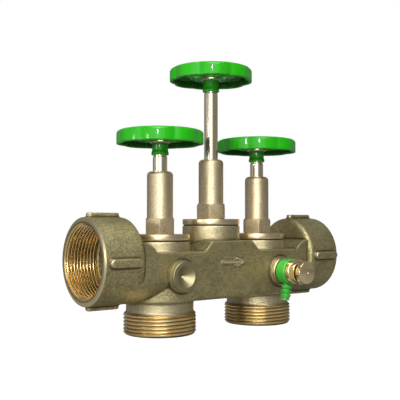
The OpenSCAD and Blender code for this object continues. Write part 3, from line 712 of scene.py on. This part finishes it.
def green_enamel(name):
    """Glossy green enamel that has run a little before it set, with shade painted under the wheel
    and round its hub.
    """
    look = settings("block_wheel")
    made = Finish(
        name, coat_weight=0.5, coat_roughness=0.05, roughness=0.4, specular_ior_level=0.2
    )
    run = made.noise(3.2 * MM, detail=2.0)
    cloud = made.noise(11 * MM)
    thin = made.ramp(made.edges(), (0.60, 0.0), (0.95, 0.45))
    cloudy = made.ramp(cloud, (0.35, 0.0), (0.7, 0.5))
    base = made.mix(cloudy, tint(look.green), tint(look.green, 0.78))
    base = made.mix(thin, base, tint(look.green, 0.6))
    # Painted shade under the wheel and round its hub, as deep as each point is closed in.
    base = made.mix(made.shaded(24 * MM) * 1.3, base, (0.004, 0.06, 0.002))
    base = made.thrown(base, (0.20, 0.25, 0.14))
    return made.done(base_color=base, normal=made.bump(run, 0.25 * MM, 0.25))


def green_plastic(name):
    """Moulded green plastic, with shade painted into the grooves between its barbs."""
    look = settings("block_drain")
    made = Finish(name, roughness=0.3, coat_weight=0.6, coat_roughness=0.08)
    cloud = made.noise(4 * MM)
    cloudy = made.ramp(cloud, (0.35, 0.0), (0.7, 0.4))
    base = made.mix(cloudy, tint(look.plastic), tint(look.plastic, 0.8))
    # Painted shade in the grooves, as deep as each point is closed in.
    base = made.mix(made.shaded(2.5 * MM) * 0.9, base, (0.006, 0.10, 0.006))
    base = made.thrown(base, (0.16, 0.19, 0.11))
    return made.done(base_color=base, normal=made.bump(made.noise(0.8 * MM), 0.06 * MM, 0.3))


def zinc_steel(name):
    """Zinc-plated steel with the dull clouds of the bath."""
    bright, dull = (0.62, 0.63, 0.64), (0.46, 0.48, 0.50)
    made = Finish(name, metallic=1.0)
    cloud = made.noise(2.5 * MM)
    base = made.mix(made.ramp(cloud, (0.35, 0.0), (0.7, 1.0)), bright, dull)
    return made.done(base_color=base, roughness=0.32 + (cloud - 0.5) * 0.2)


def black_rubber(name):
    """Moulded rubber with a little bloom."""
    black, bloom = (0.014, 0.014, 0.015), (0.035, 0.034, 0.033)
    made = Finish(name)
    cloud = made.noise(1.6 * MM)
    rough = 0.62 + (cloud - 0.5) * 0.2
    relief = made.bump(cloud, 0.05 * MM, 0.3)
    return made.done(base_color=made.mix(cloud, black, bloom), roughness=rough, normal=relief)


def shared(maker):
    """A finish made once and used by every piece that has it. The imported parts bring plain
    materials of the same names, so each gets a name of its own."""
    own = f"{maker.__name__}_finish"
    return bpy.data.materials.get(own) or maker(own)


# Pieces

def mouth_x():
    return high("valve_body").x


def socket_z():
    """Height of the socket axis."""
    mount = next(m for m in frame["record"]["mounts"] if m["name"] == "outlet_socket")
    return mount["pos_m"][2]


def port_x():
    return valve_foot("right").x


def boss_faces():
    """The centres of the faces of the blind boss and of the drain boss."""
    blind, drain = settings("block_casting").blind_face, settings("block_drain").boss_face
    return Vector((-port_x(), -blind, drain_axis(0).z)), drain_axis(drain)


def machined_ends():
    """The flat ends that get stock, as (centre, direction, radius in millimetres)."""
    ends = [((side * mouth_x(), 0, socket_z()), (side, 0, 0), 40) for side in (1, -1)]
    return ends + [(face, (0, -1, 0), 12) for face in boss_faces()]


def mouth_tool(side, lay):
    """Faces a socket's mouth, chamfers its rim and bores the bed of its thread."""
    look, thread = settings("block_casting"), settings("block_thread")
    bed = thread.root_radius / MM + thread.height / MM + BED_WALL
    depth = (thread.socket_length + thread.relief) / MM
    rim, clear, chamfer = look.socket_radius / MM, 40, 3.4
    tool = turned("tool", [
        (bed, -depth), (bed, 0), (rim - 1.1, 0), (rim + chamfer, -chamfer),
        (clear, -chamfer), (clear, TOOL_REACH),
    ], sides=128)
    axis = (0, 0, socket_z())
    brass = machined_brass(f"faced_brass_{side + 1}", axis, (1, 0, 0), 0.3, brass=look.mouth)
    tool.data.materials.append(brass)
    return settled(tool, (side * mouth_x(), 0, socket_z()), lay)


def port_tool(side):
    """Takes off a port up to its neck, where the thread's own piece comes."""
    clear = 30
    foot = (side * port_x(), 0, 0)
    top = settings("block_thread").port_length / MM
    tool = turned("tool", [(clear, -TOOL_REACH), (clear, top)])
    brass = machined_brass(f"port_brass_{side + 1}", foot, (0, 0, 1), roughness=0.3)
    tool.data.materials.append(brass)
    return settled(tool, foot)


def boss_tool(name, face, centre, roughness, brass):
    """Faces a front boss, with an outline of its centre, and turns the step round it."""
    tool = turned("tool", centre + [
        (9.5, 0), (9.75, -0.3), (9.75, -2.2), (10.4, -2.4), (12.4, -3.4), (14, -3.4),
        (14, TOOL_REACH),
    ])
    tool.data.materials.append(machined_brass(name, face, (0, 1, 0), roughness, brass=brass))
    return settled(tool, face, OUT_OF_FRONT)


def machining_tools():
    """What the lathe and the drill take off the casting, one after the other."""
    look = settings("block_casting")
    blind, drain = boss_faces()
    dish, flat = [(0.15, -5.3), (7.1, 0)], [(0.3, 0)]
    return [
        mouth_tool(1, ALONG_X),
        mouth_tool(-1, AGAINST_X),
        port_tool(1),
        port_tool(-1),
        boss_tool("boss_brass_4", blind, dish, 0.46, look.dished),
        boss_tool("boss_brass_5", drain, flat, 0.22, look.faced),
    ]


def flow_arrow():
    """The cast arrow on the front of the block: a shaft and two barbs that meet at its tip. Half
    of its height stands out of the wall."""
    look = settings("block_casting")
    right, under_axis, height, spread = 9.6, 2.3, 2.2, 20
    tip = Vector((right * MM, -look.front_wall, socket_z() - under_axis * MM))
    shaft, barb = look.arrow / MM, look.barb / MM
    strokes = []
    for reach, width, turn in ((shaft, 1.3, 0), (barb, 1.0, spread), (barb, 1.0, -spread)):
        stroke = bar("stroke", reach + width, width, height, at=(-reach / 2, 0, 0))
        bevelled(stroke, 0.22)
        strokes.append(settled(stroke, tip, OUT_OF_FRONT, turn))
    return joined("arrow", *strokes)


class BLOCK_OT_casting(Operator):
    """Model the cast block: a soft sand-cast skin, then faced and bored where it is machined"""

    bl_idname = "block.casting"
    bl_label = "Cast block"

    def execute(self, context):
        look = settings("block_casting")
        piece = raw_casting("valve_body", "skin", look, machined_ends())
        piece.data.materials.append(shared(cast_brass))
        for tool in machining_tools():
            cut(piece, tool)
        arrow = flow_arrow()
        # Lighter brass on the arrow: partly wear, partly a painted highlight.
        rubbed_and_highlit = machined_brass("arrow_brass", (0, 0, 0), (0, 1, 0), 0.3, brass=look.rubbed_and_highlit)
        arrow.data.materials.append(rubbed_and_highlit)
        piece = joined("cast_block", arrow, piece)
        note_tool_edges(piece)
        smooth(piece, 30)
        dressed(piece, "block", nodes=["valve_body"])
        return {"FINISHED"}


def thread_section(height, inward):
    """The rounded section of a pipe thread over one pitch, as (radial, axial) points in
    millimetres."""
    flank = [(-0.35, 1.12), (0.10, 1.02), (height * 0.86, 0.46), (height, 0.24)]
    sign = -1 if inward else 1
    lower = [(out * sign, -along) for out, along in flank]
    upper = [(out * sign, along) for out, along in reversed(flank)]
    return lower + upper


def thread_ridge(name, root, start, end, envelope, inward=False):
    """A helical ridge round +Z that stands on a root radius, kept only inside a turned
    envelope."""
    look = settings("block_thread")
    steps = 128
    pitch, height = look.pitch / MM, look.height / MM
    bottom = start - pitch
    section = [(root + out, bottom + along) for out, along in thread_section(height, inward)]
    piece = traced(name, section)
    turns = math.ceil((end - start) / pitch) + 2
    modify(
        piece, "SCREW", axis="Z", angle=math.radians(360), screw_offset=look.pitch,
        iterations=turns, steps=steps, render_steps=steps, use_merge_vertices=False,
    )
    with editing(piece):
        bpy.ops.mesh.fill_holes(sides=0)
        bpy.ops.mesh.select_all(action="SELECT")
        bpy.ops.mesh.normals_make_consistent(inside=False)
    cut(piece, turned("envelope", envelope + envelope[:1], sides=steps), "INTERSECT")
    return piece


def socket_thread(name, side, lay):
    """The female thread of a socket: a sleeve in its bed with the ridge on its inside."""
    look = settings("block_thread")
    root = (look.root_radius + look.height) / MM
    depth = look.socket_length / MM
    back = -depth - look.relief / MM
    chamfer = look.mouth_chamfer / MM
    crest = look.root_radius / MM
    wall, groove = root + SLEEVE_WALL, root + 0.25
    sleeve = turned(name, [
        (root, -depth), (root, -0.3), (root + 0.35, 0.02), (wall, 0.02), (wall, back),
        (groove, back), (groove, -depth - 0.3), (root, -depth),
    ], sides=128)
    envelope = [
        (crest - 0.5, -depth), (root + 0.6, -depth), (root + 0.6, 0), (crest + chamfer, 0),
        (crest - 0.5, -chamfer - 0.5),
    ]
    ridge = thread_ridge(f"{name}_ridge", root, -depth, 0, envelope, inward=True)
    piece = joined(name, ridge, sleeve)
    settled(piece, (side * mouth_x(), 0, socket_z()), lay)
    smooth(piece, 34)
    brass = machined_brass(
        f"{name}_brass", (0, 0, socket_z()), (1, 0, 0), 0.15,
        root_shade=(root + 0.3, crest), brass=look.inside,
    )
    return dressed(piece, "block", brass)


def port_thread(name, x):
    """The male thread of a lower port: a sleeve with the ridge round it."""
    look = settings("block_thread")
    root = look.root_radius / MM
    crest = root + look.height / MM
    end = look.port_length / MM
    bore = 19.5
    sleeve = turned(name, [
        (root, end + 0.2), (root, 1.2), (root - 0.5, 0.0), (bore + 0.6, 0), (bore, 0.6),
        (bore, end + 0.2), (root, end + 0.2),
    ], sides=128)
    envelope = [
        (root - 0.6, 0.2), (crest - 1.4, 0.2), (crest + 0.2, 1.6), (crest + 0.2, end - 0.6),
        (crest - 0.5, end), (root - 0.6, end),
    ]
    ridge = thread_ridge(f"{name}_ridge", root, 0.2, end, envelope)
    piece = joined(name, ridge, sleeve)
    settled(piece, (x, 0, 0))
    smooth(piece, 34)
    brass = machined_brass(f"{name}_brass", (x, 0, 0), (0, 0, 1), 0.23, root_shade=(root, crest))
    return dressed(piece, "block", brass)


class BLOCK_OT_pipe_threads(Operator):
    """Cut the pipe threads in the two sockets and on the two lower ports"""

    bl_idname = "block.pipe_threads"
    bl_label = "Pipe threads"

    def execute(self, context):
        socket_thread("outlet_thread", 1, ALONG_X)
        socket_thread("inlet_thread", -1, AGAINST_X)
        port_thread("supply_port_thread", -port_x())
        port_thread("return_port_thread", port_x())
        return {"FINISHED"}


def hexagon(name, across_flats, bottom, top, chamfer, edge):
    """A hexagonal bar along +Z whose corners are turned off at the top and bottom."""
    bpy.ops.object.select_all(action="DESELECT")
    corner = across_flats / 2 / math.cos(math.radians(30))
    bpy.ops.mesh.primitive_cylinder_add(
        vertices=6, radius=corner * MM, depth=(top - bottom) * MM,
        location=(0, 0, (top + bottom) / 2 * MM), rotation=(0, 0, math.radians(30)),
    )
    piece = named(name)
    bpy.ops.object.transform_apply(location=True, rotation=True, scale=True)
    flat = across_flats / 2 - 0.1
    lathe = turned("lathe", [
        (flat, bottom - 0.1), (corner + 0.1, bottom + chamfer), (corner + 0.1, top - chamfer),
        (flat, top + 0.1),
    ])
    cut(piece, lathe, "INTERSECT")
    bevelled(piece, edge, 2, 25)
    return piece


def flange_brass(name, at):
    """The turned brass of a bonnet's flange, with its rings round a point."""
    return machined_brass(name, at, (0, 0, 1), 0.3, brass=settings("block_bonnet").faced)


def bonnet():
    """A bonnet with its flange's underside at the origin."""
    look = settings("block_bonnet")
    flange, top = look.flange / MM, look.barrel_top / MM
    hexagon_top = flange + look.hexagon_height / MM
    rim, barrel = look.flange_radius / MM, look.barrel_radius / MM
    spigot, bore, counterbore, stem = 16.3, 12.3, 6.9, 6.1
    foot = -6.5
    shell = turned("shell", [
        (bore, foot), (spigot, foot), (spigot, 1), (barrel + 0.4, 1),
        (barrel + 0.4, hexagon_top - 0.5), (barrel, hexagon_top + 0.6), (barrel, top - 2.5),
        (barrel - 0.19, top - 1.54), (barrel - 0.73, top - 0.73), (barrel - 1.54, top - 0.19),
        (counterbore, top), (counterbore, top - 10), (stem, top - 10), (stem, 0), (bore, 0),
        (bore, foot),
    ], sides=128)
    bevelled(shell, 0.35, 3)
    grip = hexagon("grip", look.hexagon / MM, flange - 0.4, hexagon_top, chamfer=1.7, edge=0.3)
    core = turned("core", [(6.5, flange - 3), (6.5, hexagon_top + 3)])
    cut(grip, core)
    plate = ring("plate", barrel, rim, 0, flange, sides=128)
    bevelled(plate, 0.45, 3)
    rough = joined("rough", grip, shell)
    rough.data.materials.append(shared(blasted_brass))
    plate.data.materials.append(flange_brass("flange_brass", (0, 0, 0)))
    return joined("bonnet", plate, rough)


class BLOCK_OT_bonnets(Operator):
    """Model the three bonnets"""

    bl_idname = "block.bonnets"
    bl_label = "Bonnets"

    def execute(self, context):
        pattern = bonnet()
        for side, turn in zip(SIDES, BONNET_TURNS):
            foot = valve_foot(side)
            piece = settled(copied(pattern, f"{side}_bonnet_turned"), foot, turn=turn)
            smooth(piece)
            piece.data.materials[1] = flange_brass(f"{side}_flange_brass", foot)
            dressed(piece, "block", nodes=[f"{side}_bonnet"])
        bpy.data.objects.remove(pattern)
        return {"FINISHED"}


def wheel_washer():
    """A steel washer over a wheel's hub, with the hub's underside at the origin."""
    hole, rim, bottom, top = 3.1, 6.4, 12.4, 13.6
    piece = ring("washer", hole, rim, bottom, top)
    bevelled(piece, 0.2)
    return piece


def wheel_nut():
    """The nut over that washer."""
    across_flats, hole, bottom, top = 10, 3.05, 13.6, 17.8
    piece = hexagon("nut", across_flats, bottom, top, chamfer=0.8, edge=0.2)
    cut(piece, turned("core", [(hole, 12), (hole, 19)]))
    return piece


class BLOCK_OT_handwheels(Operator):
    """Model the three handwheels with their washers and nuts"""

    bl_idname = "block.handwheels"
    bl_label = "Handwheels"

    def execute(self, context):
        look = settings("block_wheel")
        for side in SIDES:
            node = f"{side}_handwheel"
            piece = raw_casting(node, f"{side}_wheel", look)
            smooth(piece, 60)
            dressed(piece, f"{side}_spindle_set", shared(green_enamel), [node])
        for part, pattern in (("wheel_washer", wheel_washer()), ("wheel_nut", wheel_nut())):
            for side, turn in zip(SIDES, WHEEL_TURNS):
                node = f"{side}_{part}"
                piece = copied(pattern, f"{side}_turned_{part}")
                settled(piece, wheel_foot(side), turn=turn)
                smooth(piece)
                dressed(piece, f"{side}_spindle_set", shared(zinc_steel), [node])
            bpy.data.objects.remove(pattern)
        return {"FINISHED"}


def spindle(side):
    """A turned spindle with its wheel's shoulder at the origin, and its square and stud above
    that."""
    look = settings("block_spindle")
    stem, thread = look.stem_radius / MM, look.thread_radius / MM
    below = (wheel_foot(side).z - low(f"{side}_spindle").z) / MM
    above = (high(f"{side}_spindle").z - wheel_foot(side).z) / MM
    collar = 5.7 - below
    pin, neck = 4, stem - 0.55
    shank = turned("shank", [
        (pin - 0.4, -below), (pin, 0.4 - below), (pin, collar), (thread - 0.5, collar),
        (thread, collar + 0.5), (thread, collar + 28.7), (stem, collar + 29.9), (stem, -1.2),
        (neck, -0.55), (neck, 0.1),
    ], sides=128)
    square = bar("square", 6.4, 6.4, 12, at=(0, 0, 5.9))
    bevelled(square, 0.3)
    stud = turned("stud", [(3, 11), (3, above - 0.5), (2.5, above)])
    return joined(f"{side}_turned_spindle", square, stud, shank)


class BLOCK_OT_spindles(Operator):
    """Model the three spindles"""

    bl_idname = "block.spindles"
    bl_label = "Spindles"

    def execute(self, context):
        look = settings("block_spindle")
        for side, turn in zip(SIDES, WHEEL_TURNS):
            body, foot = f"{side}_spindle_set", wheel_foot(side)
            brass = machined_brass(
                f"{side}_stem_brass", valve_foot(side), (0, 0, 1), 0.17, 0.05, brass=look.brass
            )
            piece = settled(spindle(side), foot, turn=turn)
            smooth(piece)
            dressed(piece, body, brass, [f"{side}_spindle"])
            bush = ring(f"{side}_hub_ring", 5.2, 7.1, 8.2, 9.3)
            bevelled(bush, 0.3)
            settled(bush, foot)
            smooth(bush)
            dressed(bush, body, brass)
        return {"FINISHED"}


def drain_body():
    """The drain valve's brass body, along +Z from the middle plane of the block."""
    look = settings("block_drain")
    face = look.boss_face / MM
    shoulder = face + look.collar / MM + 0.3
    grip_foot, grip_end = shoulder + 3.6, shoulder + 8
    bore, seat, spigot, neck, flange, wall, mouth = 3.7, 2, 6.55, 6, 8.1, 6.4, 4.06
    grip = hexagon("grip", look.hexagon / MM, grip_foot - 0.3, grip_end, chamfer=0.9, edge=0.25)
    body = turned("body", [
        (bore, face - 3), (seat, face - 3), (seat, face - 8), (spigot, face - 8),
        (spigot, face - 0.1), (neck, face - 0.1), (neck, shoulder), (flange - 0.5, shoulder),
        (flange, shoulder + 0.5), (flange, shoulder + 3), (flange - 0.6, shoulder + 3.55),
        (wall, grip_foot), (wall, grip_end - 0.3), (mouth, grip_end - 0.3),
        (mouth, shoulder + 3.1), (bore, shoulder + 3.1), (bore, face - 3),
    ], sides=128)
    core = turned("core", [(5.5, shoulder), (5.5, grip_end + 3)])
    cut(grip, core)
    return joined("drain_turned_body", grip, body)


def drain_screw():
    """The drain screw with its round head, along +Z from the middle plane of the block."""
    look = settings("block_drain")
    tip, top = -high("drain_screw").y / MM, -low("drain_screw").y / MM
    head = top - look.head_length / MM
    radius = look.head_radius / MM
    disc, pin, bearing, groove, thread = 3.4, 2.5, 3.6, 2.4, 4
    return turned("drain_turned_screw", [
        (disc, tip), (disc, tip + 0.8), (pin, tip + 0.8), (pin, head - 11), (bearing, head - 11),
        (bearing, head - 10.4), (groove, head - 10.4), (groove, head - 9), (bearing, head - 9),
        (bearing, head - 5.8), (thread, head - 5.8), (thread, head), (radius - 0.7, head),
        (radius, head + 0.7), (radius, top - 0.8), (radius - 0.25, top - 0.3),
        (radius - 0.8, top), (1.0, top), (0.35, top - 0.5),
    ], sides=128)


def drain_nozzle():
    """The moulded hose nozzle: a collar round +Z with the root of its tail, drawn as one soft
    skin, and a crisp barbed tail along -Y."""
    look = settings("block_drain")
    start = look.boss_face / MM + 0.15
    end = start + look.collar / MM
    at = (0, 0, (start + 3.6) * MM)
    inner, rim, edge = 5.2, look.collar_radius / MM, 0.6
    collar = turned("collar", [
        (inner, start), (rim - edge, start), (rim, start + edge), (rim, end - edge),
        (rim - edge, end), (inner, end), (inner, start),
    ])
    tail, barb, bore, reach = 2.75, 3.6, 1.8, look.reach / MM
    root = settled(turned("root", [(tail + 0.2, 5.4), (tail + 0.2, 9.4)]), at, OUT_OF_FRONT)
    piece = joined("hose_nozzle", root, collar)
    modify(piece, "REMESH", mode="VOXEL", voxel_size=look.grid)
    modify(piece, "SMOOTH", factor=0.5, iterations=1)
    cut(piece, settled(turned("bore", [(bore, 0), (bore, 30)]), at, OUT_OF_FRONT))
    cut(piece, turned("eye", [(6.06, start - 2), (6.06, end + 2)]))
    modify(piece, "DECIMATE", ratio=0.35)
    outline = [(bore, 7), (tail - 0.4, 7), (tail, 9.3)]
    for foot in (9.6, 12.7, 15.8):
        outline += [
            (tail, foot), (barb, foot + 0.2), (barb, foot + 0.8), (tail + 0.15, foot + 2.7),
        ]
    outline += [
        (tail - 0.3, 18.6), (tail - 0.3, 18.9), (tail + 0.25, 19.1), (tail + 0.25, reach - 0.2),
        (tail + 0.05, reach), (bore, reach), (bore, 7),
    ]
    barbed = settled(turned("tail", outline), at, OUT_OF_FRONT)
    return joined("hose_nozzle", barbed, piece)


class BLOCK_OT_drain_valve(Operator):
    """Model the drain valve on the front boss"""

    bl_idname = "block.drain_valve"
    bl_label = "Drain valve"

    def execute(self, context):
        look = settings("block_drain")
        at = drain_axis(0)
        turn, lean = math.degrees(look.grip_turn), math.degrees(look.lean)
        brass = machined_brass("drain_brass", at, (0, 1, 0), roughness=0.2)
        for make, node, body in (
            (drain_body, "drain_body", "block"), (drain_screw, "drain_screw", "drain_screw_set"),
        ):
            piece = settled(make(), at, OUT_OF_FRONT, turn)
            smooth(piece)
            dressed(piece, body, brass, [node])
        piece = settled(drain_nozzle(), at, OUT_OF_FRONT, -lean)
        smooth(piece, 40)
        dressed(piece, "nozzle", shared(green_plastic), ["drain_nozzle"])
        return {"FINISHED"}


class BLOCK_OT_inner_parts(Operator):
    """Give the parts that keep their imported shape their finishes"""

    bl_idname = "block.inner_parts"
    bl_label = "Inner parts"

    def execute(self, context):
        rubber, zinc = shared(black_rubber), shared(zinc_steel)
        for side in SIDES:
            foot = valve_foot(side)
            brass = machined_brass(f"{side}_bush_brass", foot, (0, 0, 1), roughness=0.22)
            for material, parts in (
                (rubber, ("bonnet_gasket", "stem_seals", "seat_washer")),
                (brass, ("gland_bush", "disc", "disc_nut")),
                (zinc, ("disc_clip",)),
            ):
                for part in parts:
                    self.paint(f"{side}_{part}", material)
        for node in ("drain_nozzle_seals", "drain_screw_seal", "drain_seat_washer"):
            self.paint(node, rubber)
        return {"FINISHED"}

    def paint(self, node, material):
        piece = frame["nodes"][node]
        for slot in piece.material_slots:
            slot.material = material


LIGHTS = (  # Name, place, width and depth in metres, and watts
    ("panel", (-0.68, -0.70, 0.25), 1.3, 0.9, 3.6),
    ("key", (-0.42, -0.62, 0.80), 0.7, 0.5, 6),
    ("lamp_0", (-0.60, -0.66, 0.10), 0.045, 0.045, 0.8),
    ("lamp_1", (-0.60, -0.66, 0.24), 0.045, 0.045, 0.8),
    ("lamp_2", (-0.60, -0.66, 0.38), 0.045, 0.045, 0.8),
    ("band", (-0.9, -0.05, 0.17), 0.16, 0.11, 0.9),
    ("top", (-0.15, -0.1, 0.9), 0.6, 0.6, 3.4),
    ("left", (-0.85, 0.42, 0.30), 0.8, 0.8, 0.6),
)


class BLOCK_OT_stage(Operator):
    """Set the pale floor, the soft lights and the camera"""

    bl_idname = "block.stage"
    bl_label = "Stage"

    def execute(self, context):
        look = settings("block_stage")
        bpy.ops.object.select_all(action="DESELECT")
        bpy.ops.mesh.primitive_plane_add(size=40, location=(0, 0, 0))
        floor = named("floor")
        floor.data.materials.append(self.floor_paint())
        for lamp in LIGHTS:
            self.light(*lamp)
        self.sky()
        level = math.radians(90)
        bpy.ops.object.camera_add(
            location=look.eye, rotation=(level + look.tilt, 0, look.turn)
        )
        camera = bpy.context.active_object
        camera.name = "camera"
        camera.data.lens = look.lens
        camera.data.sensor_width = 36
        camera.data.clip_start = 0.01
        context.scene.camera = camera
        context.scene.view_settings.view_transform = "Standard"
        return {"FINISHED"}

    def floor_paint(self):
        """Pale paint that the camera sees nearly white, while the block above it gets only a
        little light back."""
        paint = Finish("floor_paint", roughness=0.9)
        pale, paler = (0.27, 0.27, 0.27), (0.30, 0.30, 0.30)
        paint.done(base_color=paint.mix(paint.noise(0.4), paler, pale))
        white = paint.node("ShaderNodeEmission", None, {"Strength": 1.27})
        paint.show(paint.seen() * 0.8, paint.shader, white)
        return paint.material

    def light(self, name, place, width, depth, watts):
        """A soft box that faces the middle of the block."""
        aim = Vector((0, 0, 0.08)) - Vector(place)
        facing = aim.to_track_quat("-Z", "Y").to_euler()
        bpy.ops.object.light_add(type="AREA", location=place, rotation=facing)
        lamp = bpy.context.active_object
        lamp.name = name
        lamp.data.shape = "RECTANGLE"
        lamp.data.size, lamp.data.size_y = width, depth
        lamp.data.energy = watts

    def sky(self):
        """A white backdrop that lights the block only a little."""
        world = bpy.data.worlds.new("studio")
        bpy.context.scene.world = world
        made = Nodes(world, "ShaderNodeOutputWorld")
        dim, full = (
            made.node("ShaderNodeBackground", None, {"Color": (1, 1, 1, 1), "Strength": strength})
            for strength in (0.23, 1.0)
        )
        made.show(made.seen(), dim, full)


class BLOCK_PT_panel(Panel):
    """Steps that build the block"""

    bl_idname = "BLOCK_PT_panel"
    bl_label = "Bypass Block"
    bl_space_type = "VIEW_3D"
    bl_region_type = "UI"
    bl_category = "Block"

    def draw(self, context):
        for operator in OPERATORS:
            self.layout.operator(operator.bl_idname)


OPERATORS = (
    BLOCK_OT_casting,
    BLOCK_OT_pipe_threads,
    BLOCK_OT_bonnets,
    BLOCK_OT_handwheels,
    BLOCK_OT_spindles,
    BLOCK_OT_drain_valve,
    BLOCK_OT_inner_parts,
    BLOCK_OT_stage,
)
SETTINGS = {
    "block_casting": CastingSettings,
    "block_thread": ThreadSettings,
    "block_bonnet": BonnetSettings,
    "block_wheel": WheelSettings,
    "block_spindle": SpindleSettings,
    "block_drain": DrainSettings,
    "block_stage": StageSettings,
}


def register():
    for cls in (*SETTINGS.values(), *OPERATORS, BLOCK_PT_panel):
        bpy.utils.register_class(cls)
    for name, cls in SETTINGS.items():
        setattr(bpy.types.Scene, name, PointerProperty(type=cls))


def unregister():
    for name in SETTINGS:
        delattr(bpy.types.Scene, name)
    for cls in (BLOCK_PT_panel, *reversed(OPERATORS), *reversed(SETTINGS.values())):
        bpy.utils.unregister_class(cls)


def main():
    register()
    for operator in OPERATORS:
        group, name = operator.bl_idname.split(".")
        getattr(getattr(bpy.ops, group), name)()


if __name__ == "__main__":
    main()
